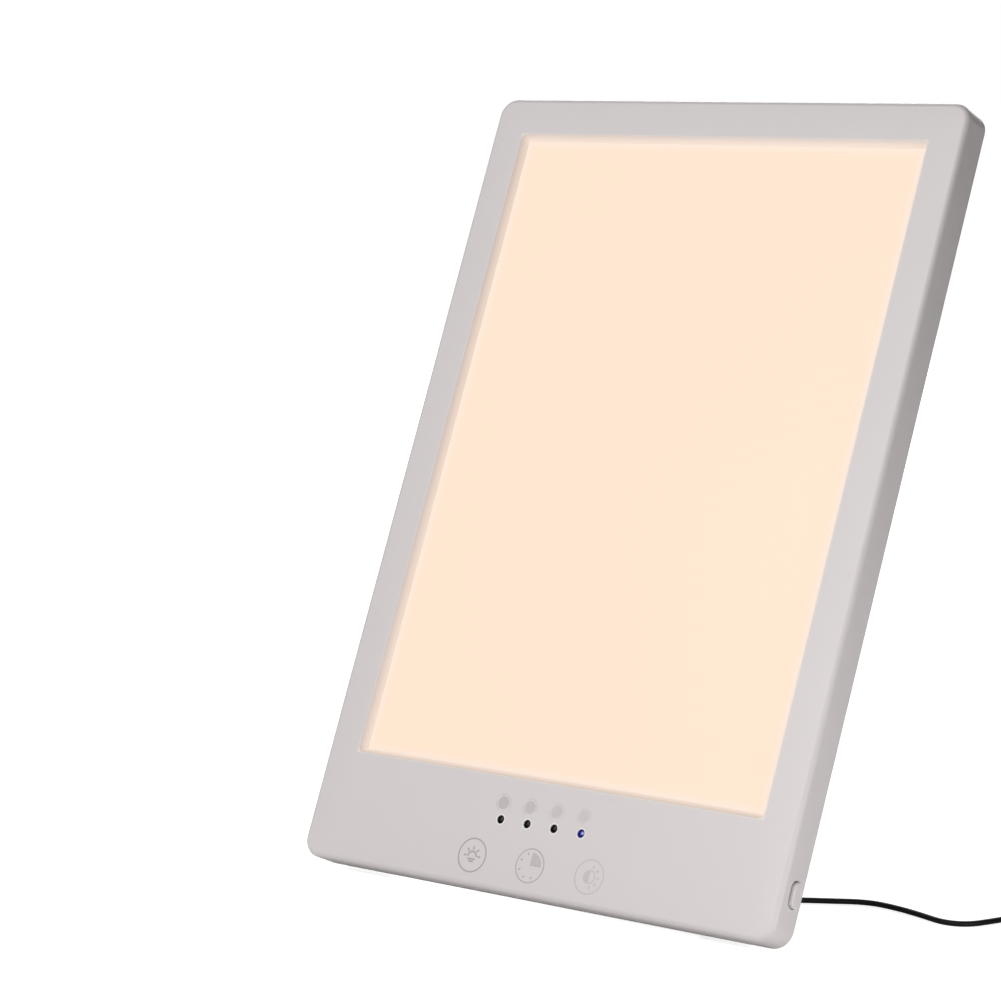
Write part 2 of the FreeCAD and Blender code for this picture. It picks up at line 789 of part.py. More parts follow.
def finish_leg(plate):
    """Add the hinge barrel and its stop, and bore the barrel."""
    neck = half(S.leg_neck)
    barrel = cross_rod("barrel", S.hinge_barrel, neck[0], S.hinge_height, S.hinge_depth, S.leg_neck)
    stop = block("stop", neck, (as_size(0), S.stop_reach), (-S.stop_thickness, as_size(0)))
    at = Vector(0, SIZES["hinge_height"], SIZES["hinge_depth"])
    turned = Rotation(Vector(1, 0, 0), -SIZES["leg_opening"])
    corner = Vector(-SIZES["leg_neck"] / 2, 0, -SIZES["stop_thickness"])
    for axis in ("x", "y", "z"):
        stop.setExpression(f"Placement.Base.{axis}", None)
    stop.Placement = Placement(at, turned).multiply(Placement(corner, Rotation()))
    whole = joined("leg_whole", [plate, barrel, stop])
    bore = S.hinge_pin + S.pin_clearance * 2
    start = neck[0] - CUT_SPARE
    tool = cross_rod("leg_bore", bore, start, S.hinge_height, S.hinge_depth, S.leg_neck + CUT_SPARE * 2)
    return keep(without("leg", whole, tool), "stand_leg")


def hinge_parts():
    """The steel pin and the friction washers between the leg and the ears."""
    reach = RECESS_X[1] + S.tub_wall
    pin = cross_rod("pin", S.hinge_pin, -reach, S.hinge_height, S.hinge_depth, reach * 2)
    keep(pin, "hinge_pin")
    washers = []
    bore = S.hinge_pin + S.pin_clearance * 2
    near = S.leg_neck / 2 + S.washer_gap
    for start in (near, -near - S.washer_thickness):
        disc = cross_rod("disc", S.hinge_barrel, start, S.hinge_height, S.hinge_depth, S.washer_thickness)
        length = S.washer_thickness + CUT_SPARE * 2
        hole = cross_rod("disc_hole", bore, start - CUT_SPARE, S.hinge_height, S.hinge_depth, length)
        washers.append(without("washer", disc, hole))
    keep(grouped("washers", washers), "hinge_washers")


def floor_cutter(name, placement):
    """A large block whose top lies in the floor, seen from a leaning piece."""
    cutter = doc.addObject("Part::Box", name)
    cutter.Length = 2 * FLOOR_REACH
    cutter.Width = 2 * FLOOR_REACH
    cutter.Height = FLOOR_REACH
    corner = Vector(-FLOOR_REACH, -FLOOR_REACH, -FLOOR_REACH)
    cutter.Placement = placement.inverse().multiply(Placement(corner, Rotation()))
    return cutter


def stand_foot_pad(leg_frame):
    """The rubber strip on the leg's end, cut level with the floor."""
    wide = half(S.leg_pad_width)
    end = as_size(LEG_END)
    along = (end - S.leg_pad_spare, end + S.leg_pad_height)
    strip = block("leg_pad", wide, along, (S.leg_inset, S.leg_inset + S.leg_thickness))
    keep(without("leg_pad_cut", strip, floor_cutter("leg_floor", leg_frame)), "stand_foot_pad")


def foot_pads(panel_frame):
    """Two strips under the lower edge that the panel rests on, cut level with the floor."""
    pads = []
    for side in (-1, 1):
        middle = S.foot_pad_x * side
        wide = (middle - S.foot_pad_length / 2, middle + S.foot_pad_length / 2)
        strip = block("edge_pad", wide, (-S.foot_pad_drop, as_size(0)), (S.foot_pad_near, S.foot_pad_far))
        pads.append(without("edge_pad_cut", strip, floor_cutter("edge_floor", panel_frame)))
    keep(grouped("edge_pads", pads), "foot_pads")


# The electronics


def control_board():
    """The circuit board behind the keys, with its four screw holes."""
    body = new_body("board")
    outline = new_sketch(body, "board_outline", "XY_Plane", BOARD_BACK)
    add_rounded_rectangle(outline, BOARD_X, BOARD_Y, S.board_corner)
    pad(body, "board_sheet", outline, S.board_thickness)
    holes = new_sketch(body, "board_holes", "XY_Plane", BOARD_BACK)
    for x, y in board_screw_places():
        add_circle(holes, x, y, S.screw_clearance)
    pocket_up(body, "board_bores", holes, S.board_thickness)
    keep(body, "control_board")


def board_blocks(table):
    """Blocks on the board's front, from a table of their places and heights."""
    blocks = []
    for name, (across, up, height) in table.items():
        x = tuple(as_size(value) for value in across)
        y = tuple(as_size(value) for value in up)
        blocks.append(block(name, x, y, (BOARD_FRONT, BOARD_FRONT + height)))
    return blocks


def board_components():
    """The driver chip, a coil, a capacitor and the plugs of the wires, on the board's front."""
    x, y = (as_size(value) for value in CAPACITOR["place"])
    diameter, height = as_size(CAPACITOR["diameter"]), as_size(CAPACITOR["height"])
    capacitor = rod("capacitor", diameter, x, y, BOARD_FRONT, height)
    pieces = [*board_blocks(BOARD_CHIPS), capacitor, *board_blocks(BOARD_PLUGS)]
    keep(grouped("components", pieces), "board_components")


def touch_pads():
    """Conductive pads that carry the touch keys from the board to the housing."""
    height = S.board_standoff
    pads = [rod("key_pad", S.touch_pad, x, S.key_y, BOARD_FRONT, height) for x in key_places()]
    keep(grouped("key_pads", pads), "touch_pads")


def indicator(x):
    """One indicator light: a short column with a tapered tip."""
    y = S.indicator_y
    shoulder = S.panel_depth - S.indicator_sink - S.indicator_tip
    column = rod("light_column", S.indicator_led, x, y, BOARD_FRONT, shoulder - BOARD_FRONT)
    point = cone("light_tip", S.indicator_led, S.indicator_tip_end, x, y, shoulder, S.indicator_tip)
    return joined("indicator", [column, point])


def indicators():
    """The four indicator lights, of which the last one is lit."""
    lights = [indicator(x) for x in indicator_places()]
    keep(grouped("unlit", lights[:3]), "indicator_leds")
    keep(lights[3], "indicator_led_lit")


def power_jack():
    """A panel jack whose mouth is flush with the rear cover, with its centre pin."""
    x, y = S.jack_x, S.jack_y
    shell = rod("jack_shell", S.jack_body, x, y, as_size(0), S.jack_length)
    mouth = rod("jack_mouth", S.jack_bore, x, y, as_size(-CUT_SPARE), S.jack_bore_depth + CUT_SPARE)
    pin = rod("jack_centre", S.jack_pin, x, y, S.jack_floor, S.jack_length - S.jack_floor)
    keep(joined("jack", [without("jack_hollow", shell, mouth), pin]), "power_jack")


def power_button():
    """The side button with its retaining flange, and the plunger that it pushes."""
    inner_wall = S.panel_width / 2 - S.side_wall
    flange_face = inner_wall - S.button_play
    body = new_body("button")
    cap = new_sketch(body, "button_outline", "YZ_Plane", flange_face - S.button_flange_thickness)
    add_rounded_rectangle(cap, *button_outline(as_size(0)))
    reach = S.panel_width / 2 + S.button_standout - flange_face + S.button_flange_thickness
    column = pad(body, "button_column", cap, reach)
    doc.recompute()
    outer = SIZES["panel_width"] / 2 + SIZES["button_standout"]
    edges = edges_where(column.Shape, lambda p: abs(p.x - outer) < 1e-6)
    round_edges(body, "button_rounding", column, edges, S.button_width / 10)
    flange = new_sketch(body, "flange_outline", "YZ_Plane", flange_face - S.button_flange_thickness)
    add_rounded_rectangle(flange, *button_outline(S.button_flange))
    pad(body, "button_flange_sheet", flange, S.button_flange_thickness)
    keep(body, "power_button")
    plunger_end = flange_face - S.button_flange_thickness
    length = S.switch_gap + S.plunger_depth
    plunger = cross_rod("plunger_rod", S.plunger, plunger_end - length, S.button_y, S.button_z, length)
    keep(plunger, "switch_plunger")
    return plunger_end


def power_switch(plunger_end):
    """The switch block behind the button, glued to the front wall, with a well for its plunger."""
    face = plunger_end - S.switch_gap
    wide = S.switch_width / 2
    case = block(
        "switch_case",
        (face - S.switch_length, face),
        (S.button_y - wide, S.button_y + wide),
        (S.cover_thickness + S.switch_rear_gap, CEILING),
    )
    depth = S.plunger_depth + S.button_travel + S.plunger_well_room
    wide = S.plunger + S.plunger_side_room * 2
    well = cross_rod("switch_well", wide, face - depth, S.button_y, S.button_z, depth + CUT_SPARE)
    keep(without("switch", case, well), "power_switch")


# Wires and the lead


def hexagon(centre, normal, flats_across, up):
    """A six-sided ring round a centre, square to the normal, with a corner along up."""
    radius = flats_across / math.sqrt(3)
    side = normal.cross(up).normalize()
    turns = [math.radians(60 * number) for number in range(7)]
    ring = [centre + up * (radius * math.cos(t)) + side * (radius * math.sin(t)) for t in turns]
    return Part.makePolygon(ring)


def hexagon_area(flats_across):
    """The area of such a ring."""
    return math.sqrt(3) / 2 * flats_across**2


def cord_flats():
    """The distance across the flats that gives a six-sided cord the area of the round one."""
    return SIZES["cord_diameter"] * math.sqrt(math.pi / (2 * math.sqrt(3)))


def rounded_path(points):
    """Straight runs joined by tangent arcs, each as large as its two runs allow; and their radii."""
    edges = []
    radii = []
    start = points[0]
    for before, corner, after in zip(points, points[1:], points[2:]):
        arriving = (corner - before).normalize()
        leaving = (after - corner).normalize()
        turn = arriving.getAngle(leaving)
        shorter = min((corner - before).Length, (after - corner).Length)
        cut = 0.45 * shorter
        radius = cut / math.tan(turn / 2)
        first = corner - arriving * cut
        last = corner + leaving * cut
        towards = (leaving - arriving).normalize()
        middle = corner + towards * (radius / math.cos(turn / 2) - radius)
        edges.append(Part.LineSegment(start, first).toShape())
        edges.append(Part.Arc(first, middle, last).toShape())
        radii.append(radius)
        start = last
    edges.append(Part.LineSegment(start, points[-1]).toShape())
    return Part.Wire(edges), radii


def tube(name, path, flats_across, up):
    """A six-sided tube along a path, whose volume is compared with its section times its length."""
    first = path.Edges[0]
    begin = first.valueAt(first.FirstParameter)
    ahead = first.tangentAt(first.FirstParameter)
    ring = Part.Wire(hexagon(begin, ahead, flats_across, up).Edges)
    solid = path.makePipeShell([ring], True, False)
    expected = hexagon_area(flats_across) * path.Length
    print(f"{name}: length {path.Length:.1f}, volume {solid.Volume:.1f}, expected {expected:.1f}")
    piece = doc.addObject("Part::Feature", name)
    piece.Shape = solid
    return piece


def inner_wires():
    """The wires from the jack, the switch and the strips to the board's plugs, on hand-chosen points."""
    level = BOARD_FRONT.value + 1.9
    upper = level + 1.35
    plug_face = SIZES["board_width"] / 2 - 1.0
    jack_x = SIZES["jack_x"]
    jack_edge = SIZES["jack_y"] + SIZES["jack_body"] / 2
    switch_back = SIZES["panel_width"] / 2 - SIZES["side_wall"] - SIZES["button_play"]
    switch_back -= SIZES["button_flange_thickness"] + SIZES["switch_gap"] + SIZES["switch_length"]
    strip_x = PLATE_X[1].value + SIZES["strip_gap"] + SIZES["strip_led_height"]
    strip_x += SIZES["strip_thickness"] / 2
    strip_end = PLATE_Y[0].value
    routes = {
        "left": [
            (-strip_x, strip_end),
            (-strip_x, strip_end - 5),
            (-strip_x + 9, 27.5),
            (-plug_face - 14, 26),
            (-plug_face - 5, 16),
            (-plug_face, 16),
        ],
        "right": [
            (strip_x, strip_end),
            (strip_x, strip_end - 5),
            (strip_x - 9, 27.5),
            (jack_x + 4, 26.5),
            (plug_face + 4, 25),
            (plug_face + 3, 15.5),
            (plug_face, 15.5),
        ],
        "switch": [
            (switch_back, SIZES["button_y"]),
            (74, SIZES["button_y"]),
            (jack_x + 6, 29.5),
            (plug_face + 4, 29.5),
            (plug_face + 2.8, 20.5),
            (plug_face, 20.5),
        ],
        "jack": [
            (jack_x, jack_edge),
            (jack_x, 26.5),
            (plug_face + 5.5, 26.5),
            (plug_face + 5.5, 17.5),
            (plug_face, 17.5),
        ],
    }
    wires = []
    for name, route in routes.items():
        height = upper if name == "right" else level
        path, _ = rounded_path([Vector(x, y, height) for x, y in route])
        wires.append(tube(f"{name}_wire", path, SIZES["wire"], Vector(0, 0, 1)))
    keep(grouped("wires", wires), "inner_wires")


def plug():
    """The plug in the jack: a metal barrel, a grip with a gentle taper, and a tapered strain relief."""
    x, y = S.jack_x, S.jack_y
    gap = S.plug_gap
    length = S.plug_barrel_length + gap
    barrel = rod("plug_sleeve", S.plug_barrel, x, y, -gap, length)
    hollow = rod("plug_hollow", S.plug_barrel_bore, x, y, as_size(0), length)
    keep(without("barrel_tube", barrel, hollow), "plug_barrel")
    grip_length = S.plug_body_length - gap
    grip = cone("plug_grip_cone", S.plug_body * 0.9, S.plug_body, x, y, -S.plug_body_length, grip_length)
    keep(grip, "plug_grip")
    start = -S.plug_body_length - S.relief_length
    relief = cone("relief_cone", S.relief_end, S.relief_start, x, y, start, S.relief_length)
    keep(relief, "plug_strain_relief")


def lead_start(panel_frame):
    """The lead's first two points: the strain relief's end, and where the line reaches the floor."""
    end = Vector(SIZES["jack_x"], SIZES["jack_y"], -SIZES["plug_body_length"] - SIZES["relief_length"])
    begin = panel_frame.multVec(end)
    ahead = panel_frame.Rotation.multVec(Vector(0, 0, -1))
    level = cord_flats() / math.sqrt(3)
    run = (begin.z - level) / -ahead.z
    return begin, begin + ahead * run


def lead(panel_frame):
    """The free stretch of the lead, from the plug to its coil."""
    level = cord_flats() / math.sqrt(3)
    raised = level + SIZES["coil_lift"]
    points = list(lead_start(panel_frame))
    points += [Vector(x, y, level) for x, y in LEAD_ROUTE]
    points.append(Vector(COIL_ENTRY[0], COIL_ENTRY[1] - COIL_LAST_RUN, raised))
    points.append(Vector(COIL_ENTRY[0], COIL_ENTRY[1], raised))
    path, radii = rounded_path(points)
    print("lead radii:", ", ".join(f"{radius:.1f}" for radius in radii))
    ahead = (points[1] - points[0]).normalize()
    up = Vector(1, 0, 0).cross(ahead).normalize()
    keep(tube("lead_tube", path, cord_flats(), up), "cord_lead")
    return path.Length


def quarter(start, ahead, towards, radius):
    """A quarter turn from a point, with the centre a radius towards one side; and where it ends."""
    centre = start + towards * radius
    middle = centre + (ahead - towards) * (radius / math.sqrt(2))
    end = centre + ahead * radius
    return Part.Arc(start, middle, end).toShape(), end


def half_turn(start, ahead, across, rise):
    """Half a turn that ends at the distance across and the rise, as two quarter turns."""
    chord = across + Vector(0, 0, rise)
    radius = chord.Length / 2
    side = Vector(chord).normalize()
    first, top = quarter(start, ahead, side, radius)
    second, end = quarter(top, side, ahead * -1, radius)
    return [first, second], end


def coil_path():
    """The coil's line: in along the lower layer, up a layer, and out again along the upper one."""
    flats = cord_flats()
    straight = SIZES["cord_diameter"]
    pitch = flats + SIZES["coil_gap"]
    layer = 2 * flats / math.sqrt(3) + SIZES["coil_gap"]
    level = flats / math.sqrt(3) + SIZES["coil_lift"]
    ahead = Vector(0, 1, 0)
    to_right = Vector(1, 0, 0)
    point = Vector(COIL_ENTRY[0], COIL_ENTRY[1], level)
    edges = [Part.LineSegment(point, point + ahead * straight).toShape()]
    point = point + ahead * straight
    radius = 6 * SIZES["cord_diameter"] + pitch * HALF_TURNS_PER_LAYER / 4
    for number in range(2 * HALF_TURNS_PER_LAYER + 1):
        climbing = number == HALF_TURNS_PER_LAYER
        more, point = half_turn(point, ahead, to_right * (2 * radius), layer if climbing else 0.0)
        edges += more
        ahead = ahead * -1
        to_right = to_right * -1
        radius += -pitch / 2 if number < HALF_TURNS_PER_LAYER else pitch / 2
    edges.append(Part.LineSegment(point, point + ahead * straight).toShape())
    return Part.Wire(edges), point + ahead * straight, ahead


def least_gap(path, flats_across):
    """The least clear distance between one turn and the next, measured on points of the line."""
    points = path.discretize(Number=1200)
    step = path.Length / (len(points) - 1)
    skip = int(6 * flats_across / step)
    count = len(points)
    pairs = ((first, second) for first in range(count) for second in range(first + skip, count))
    return min(points[first].distanceToPoint(points[second]) for first, second in pairs) - flats_across


def coil():
    """The put-away length of the lead, wound into a flat coil of two layers."""
    path, end, ahead = coil_path()
    keep(tube("coil_tube", path, cord_flats(), Vector(0, 0, 1)), "cord_coil")
    gap = least_gap(path, cord_flats())
    print(f"coil: least gap to itself {gap:.2f}, turns {HALF_TURNS_PER_LAYER + 0.5}")
    return path, end, ahead


def coil_tie(path):
    """The strap round the far side of the coil."""
    box = path.BoundBox
    half_cord = cord_flats() / math.sqrt(3)
    room = SIZES["tie_room"]
    thick = SIZES["tie_thickness"]
    middle = box.XMin + (box.XMax - box.XMin) / 2
    wide = SIZES["tie_width"]
    inner_y = coil_inner_edge(path)
    low = inner_y - half_cord - room
    high = box.YMax + half_cord + room
    bottom = SIZES["coil_lift"] - room
    top = box.ZMax + half_cord + room
    deep = high - low
    tall = top - bottom
    corner = Vector(middle - wide / 2, low - thick, bottom - thick)
    outer = Part.makeBox(wide, deep + 2 * thick, tall + 2 * thick, corner)
    corner = Vector(middle - wide / 2 - CUT_SPARE, low, bottom)
    inner = Part.makeBox(wide + 2 * CUT_SPARE, deep, tall, corner)
    strap = doc.addObject("Part::Feature", "strap")
    strap.Shape = outer.cut(inner)
    keep(strap, "coil_tie")


def coil_inner_edge(path):
    """How near the innermost turn comes to the coil's middle, on its far side."""
    box = path.BoundBox
    middle_x = (box.XMin + box.XMax) / 2
    middle_y = (box.YMin + box.YMax) / 2
    reach = SIZES["tie_width"] / 2 + SIZES["cord_diameter"] / 10
    points = path.discretize(Number=3000)
    return min(p.y for p in points if abs(p.x - middle_x) < reach and p.y > middle_y)


def usb_plug(end, ahead):
    """The plug at the lead's far end: strain relief, moulded grip, metal shell and tongue."""
    up = Vector(0, 0, 1)
    frame = Placement(end, Rotation(up.cross(ahead), up, ahead))
    half_height = end.z
    body_start = SIZES["usb_relief_length"]
    body_end = body_start + SIZES["usb_body_length"]
    body_width = SIZES["usb_body_width"]
    relief = Part.makeCone(SIZES["usb_relief_start"] / 2, SIZES["usb_relief_end"] / 2, body_start)
    corner = Vector(-body_width / 2, -half_height, body_start)
    grip = Part.makeBox(body_width, 2 * half_height, SIZES["usb_body_length"], corner)
    long_edges = [edge for edge in grip.Edges if abs(edge.tangentAt(edge.FirstParameter).z) > 0.99]
    wide, high, length = SIZES["usb_shell_width"], SIZES["usb_shell_height"], SIZES["usb_shell_length"]
    wall = SIZES["usb_shell_wall"]
    gap = SIZES["usb_tongue_gap"]
    shell = Part.makeBox(wide, high, length, Vector(-wide / 2, -high / 2, body_end))
    corner = Vector(wall - wide / 2, wall - high / 2, body_end)
    hollow = Part.makeBox(wide - 2 * wall, high - 2 * wall, length, corner)
    corner = Vector(wall + gap - wide / 2, wall - high / 2 + SIZES["usb_tongue_rise"], body_end)
    tongue_width = wide - 2 * (wall + gap)
    tongue = Part.makeBox(tongue_width, SIZES["usb_tongue"], length - SIZES["usb_tongue_sink"], corner)
    solids = {
        "usb_strain_relief": relief,
        "usb_grip": grip.makeFillet(SIZES["usb_body_rounding"], long_edges),
        "usb_shell": shell.cut(hollow),
        "usb_tongue_block": tongue,
    }
    for name, shape in solids.items():
        piece = doc.addObject("Part::Feature", f"{name}_solid")
        piece.Shape = shape
        piece.Placement = frame
        keep(piece, name)


# Frames


def panel_placement():
    """How the panel stands: leaning back on its lower rear edge, just above the floor."""
    turn = Rotation(Vector(1, 0, 0), 90 - SIZES["lean_angle"])
    return Placement(Vector(0, 0, SIZES["floor_lift"]), turn)


def leg_placement(panel_frame):
    """How the leg stands: swung out of the panel about its hinge."""
    hinge = Vector(0, SIZES["hinge_height"], SIZES["hinge_depth"])
    swing = Placement(Vector(0, 0, 0), Rotation(Vector(1, 0, 0), SIZES["leg_opening"]), hinge)
    return panel_frame.multiply(swing)


LEG_PIECES = ("stand_leg", "stand_foot_pad")
PLUG_PIECES = ("plug_barrel", "plug_grip", "plug_strain_relief")
FAR_PLUG_PIECES = ("usb_strain_relief", "usb_grip", "usb_shell", "usb_tongue_block")
WORLD_PIECES = ("cord_lead", "cord_coil", "coil_tie", *FAR_PLUG_PIECES)


def stand_up(names, frame):
    """Give the named pieces the placement of what carries them."""
    for name in names:
        piece = parts[name]
        piece.Placement = frame.multiply(piece.Placement)


def footprint_middle(panel_frame, leg_frame):
    """The middle of the lamp's footprint without its lead, so that the origin can lie there."""
    whole = FreeCAD.BoundBox()
    for name, piece in parts.items():
        if name in WORLD_PIECES or name in PLUG_PIECES:
            continue
        frame = leg_frame if name in LEG_PIECES else panel_frame
        shape = piece.Shape.copy()
        shape.Placement = frame.multiply(shape.Placement)
        whole.add(shape.optimalBoundingBox(False))
    return Vector((whole.XMin + whole.XMax) / 2, (whole.YMin + whole.YMax) / 2, 0)


def check_and_write():
    """Stop on any failed object or bad shape, and write each piece to its own file."""
    doc.recompute()
    for obj in doc.Objects:
        if "Invalid" in obj.State or "Error" in obj.State:
            raise RuntimeError(f"{obj.Name} ({obj.Label}) failed: {obj.State}")
    os.makedirs("parts", exist_ok=True)
    for name, piece in parts.items():
        shape = piece.Shape
        if shape.isNull() or not shape.isValid() or not shape.Solids:
            raise RuntimeError(f"{name} has no valid solid")
    for name, piece in parts.items():
        piece.Shape.exportStep(f"parts/{name}.step")
    print(f"{len(parts)} pieces written")


def main():
    """Build every piece, stand the lamp up and write it."""
    fill_sheet()
    resting = panel_placement()
    swung = leg_placement(resting)
    front_housing()
    light_stack()
    all_screws()
    rear_cover()
    stand_leg()
    hinge_parts()
    stand_foot_pad(swung)
    foot_pads(resting)
    control_board()
    board_components()
    touch_pads()
    indicators()
    power_jack()
    power_switch(power_button())
    inner_wires()
    plug()
    doc.recompute()
    shift = Placement(footprint_middle(resting, swung) * -1, Rotation())
    panel_frame = shift.multiply(resting)
    leg_frame = shift.multiply(swung)
    free = lead(panel_frame)
    path, end, ahead = coil()
    coil_tie(path)
    usb_plug(end, ahead)
    print(f"lead: {free + path.Length:.0f} in all, {free:.0f} of it free")
    print("hinge:", panel_frame.multVec(Vector(0, SIZES["hinge_height"], SIZES["hinge_depth"])))
    stand_up([n for n in parts if n not in WORLD_PIECES and n not in LEG_PIECES], panel_frame)
    stand_up(LEG_PIECES, leg_frame)
    check_and_write()


main()
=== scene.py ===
import json
import logging
import math
from dataclasses import dataclass, field, replace
from enum import Enum
from typing import Any, Iterable, Optional, Sequence, Union

import bmesh
import bpy
from mathutils import Matrix, Vector

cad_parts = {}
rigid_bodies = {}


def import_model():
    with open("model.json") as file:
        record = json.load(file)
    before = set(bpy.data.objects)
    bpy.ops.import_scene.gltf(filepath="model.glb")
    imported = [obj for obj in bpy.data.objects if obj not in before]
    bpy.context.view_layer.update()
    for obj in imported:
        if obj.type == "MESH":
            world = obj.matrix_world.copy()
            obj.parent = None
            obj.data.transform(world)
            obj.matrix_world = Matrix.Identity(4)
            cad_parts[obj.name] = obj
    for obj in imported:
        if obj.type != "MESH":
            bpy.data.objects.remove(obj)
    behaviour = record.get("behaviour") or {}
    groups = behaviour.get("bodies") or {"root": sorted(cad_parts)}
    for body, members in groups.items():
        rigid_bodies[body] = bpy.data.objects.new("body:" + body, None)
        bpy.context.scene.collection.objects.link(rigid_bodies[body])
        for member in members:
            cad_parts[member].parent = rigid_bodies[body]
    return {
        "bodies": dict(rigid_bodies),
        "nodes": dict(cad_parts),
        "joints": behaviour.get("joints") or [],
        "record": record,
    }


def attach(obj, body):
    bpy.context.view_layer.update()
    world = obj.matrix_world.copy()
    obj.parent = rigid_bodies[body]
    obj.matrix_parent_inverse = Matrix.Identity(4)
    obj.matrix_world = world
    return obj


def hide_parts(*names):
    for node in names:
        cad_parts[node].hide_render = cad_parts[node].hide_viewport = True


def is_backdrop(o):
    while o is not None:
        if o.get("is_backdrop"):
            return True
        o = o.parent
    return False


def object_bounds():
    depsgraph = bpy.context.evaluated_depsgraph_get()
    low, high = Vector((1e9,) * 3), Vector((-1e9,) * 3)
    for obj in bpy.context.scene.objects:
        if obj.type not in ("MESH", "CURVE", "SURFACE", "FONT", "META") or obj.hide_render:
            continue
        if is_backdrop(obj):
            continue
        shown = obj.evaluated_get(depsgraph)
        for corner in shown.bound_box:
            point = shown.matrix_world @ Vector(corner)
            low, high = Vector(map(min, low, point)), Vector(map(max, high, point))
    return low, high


LOG = logging.getLogger("therapy_lamp")

MM = 0.001

Colour = tuple[float, float, float]
Place = tuple[float, float, float]
Spot = tuple[float, float]
Span = tuple[float, float]
Label = Union[str, int]

UNLIT: Colour = (0.0, 0.0, 0.0)
WHITE: Colour = (1.0, 1.0, 1.0)
SHELL: Colour = (0.665, 0.625, 0.62)

# A square's corners round its middle, against the clock.
CORNERS = ((-1, -1), (1, -1), (1, 1), (-1, 1))

# Places on the panel in millimetres: across from its middle line, up from its lower edge and forward
# from its back plane.
FACE = 13.0
WINDOW: tuple[Spot, Spot] = ((-88.75, 42.85), (88.75, 283.45))
INDICATOR_X = (-18.0, -6.0, 6.0, 18.0)
INDICATOR_Y = 25.3
JACK_AT: Spot = (60.0, 18.4)

# The width of one band of a Wave node at a scale of 1.
WAVE_WIDTH = 0.314

# How many degrees one edge of a printed arc covers, and how few edges an arc has.
ARC_EDGE = 6.0
ARC_LEAST = 6


def screen(red: float, green: float, blue: float) -> Colour:
    """Turns a colour given in screen values into scene light.

    Args:
        red: Red from 0 to 255.
        green: Green from 0 to 255.
        blue: Blue from 0 to 255.

    Returns:
        The colour's three linear values.
    """
    shares = (value / 255.0 for value in (red, green, blue))
    return tuple(s / 12.92 if s <= 0.04045 else ((s + 0.055) / 1.055) ** 2.4 for s in shares)


def tinted(colour: Colour, factor: float) -> Colour:
    """A colour made lighter or darker by a factor."""
    return tuple(min(value * factor, 1.0) for value in colour)


class Wire:
    """A node's socket that takes part in Python expressions."""

    def __init__(self, nodes: "Nodes", socket: bpy.types.NodeSocket) -> None:
        """Keeps the socket and the tree that it belongs to."""
        self.nodes = nodes
        self.socket = socket

    def maths(self, operation: str, *values: "Value") -> "Wire":
        """The result of a new Math node that holds these values."""
        return self.nodes.node("ShaderNodeMath", dict(enumerate(values)), operation=operation)

    def __add__(self, other: "Value") -> "Wire":
        """Self plus other."""
        return self.maths("ADD", self, other)

    __radd__ = __add__

    def __sub__(self, other: "Value") -> "Wire":
        """Self minus other."""
        return self.maths("SUBTRACT", self, other)

    def __rsub__(self, other: "Value") -> "Wire":
        """Other minus self."""
        return self.maths("SUBTRACT", other, self)

    def __mul__(self, other: "Value") -> "Wire":
        """Self times other."""
        return self.maths("MULTIPLY", self, other)

    __rmul__ = __mul__

    def __truediv__(self, other: "Value") -> "Wire":
        """Self divided by other."""
        return self.maths("DIVIDE", self, other)

    def __rtruediv__(self, other: "Value") -> "Wire":
        """Other divided by self."""
        return self.maths("DIVIDE", other, self)

    def __abs__(self) -> "Wire":
        """Self without its sign."""
        return self.maths("ABSOLUTE", self)

    def between(self, low: float, high: float) -> "Wire":
        """A soft step from 0 at low to 1 at high."""
        values = {"Value": self, "From Min": low, "From Max": high}
        return self.nodes.node("ShaderNodeMapRange", values, "Result", interpolation_type="SMOOTHSTEP")

    def swing(self, reach: float) -> "Wire":
        """A value from 0 to 1 made to swing evenly round zero, this far in all."""
        return (self - 0.5) * reach


Value = Union[float, Colour, Wire]


class Nodes:
    """A node tree in the making, with one method for every kind of node."""

    def __init__(self, tree: bpy.types.NodeTree) -> None:
        """Keeps the tree."""
        self.tree = tree

    def feed(self, node: bpy.types.Node, values: dict[Label, Any]) -> None:
        """Fills a node's inputs.

        Args:
            node: The node.
            values: A value or a link for each input, by name or number.
        """
        for key, value in values.items():
            target = node.inputs[key]
            if isinstance(value, Wire):
                self.tree.links.new(value.socket, target)
            elif target.type == "RGBA":
                target.default_value = (*value, 1.0)
            else:
                target.default_value = value

    def node(
        self, kind: str, values: Optional[dict[Label, Any]] = None, result: Label = 0, **settings: Any
    ) -> Wire:
        """Adds any node.

        Args:
            kind: The node's type.
            values: What its inputs hold, by name or number.
            result: The output to hand back, by name or number.
            settings: Its settings, which are set first.

        Returns:
            That output.
        """
        node = self.tree.nodes.new(kind)
        for key, value in settings.items():
            setattr(node, key, value)
        self.feed(node, values or {})
        return Wire(self, node.outputs[result])


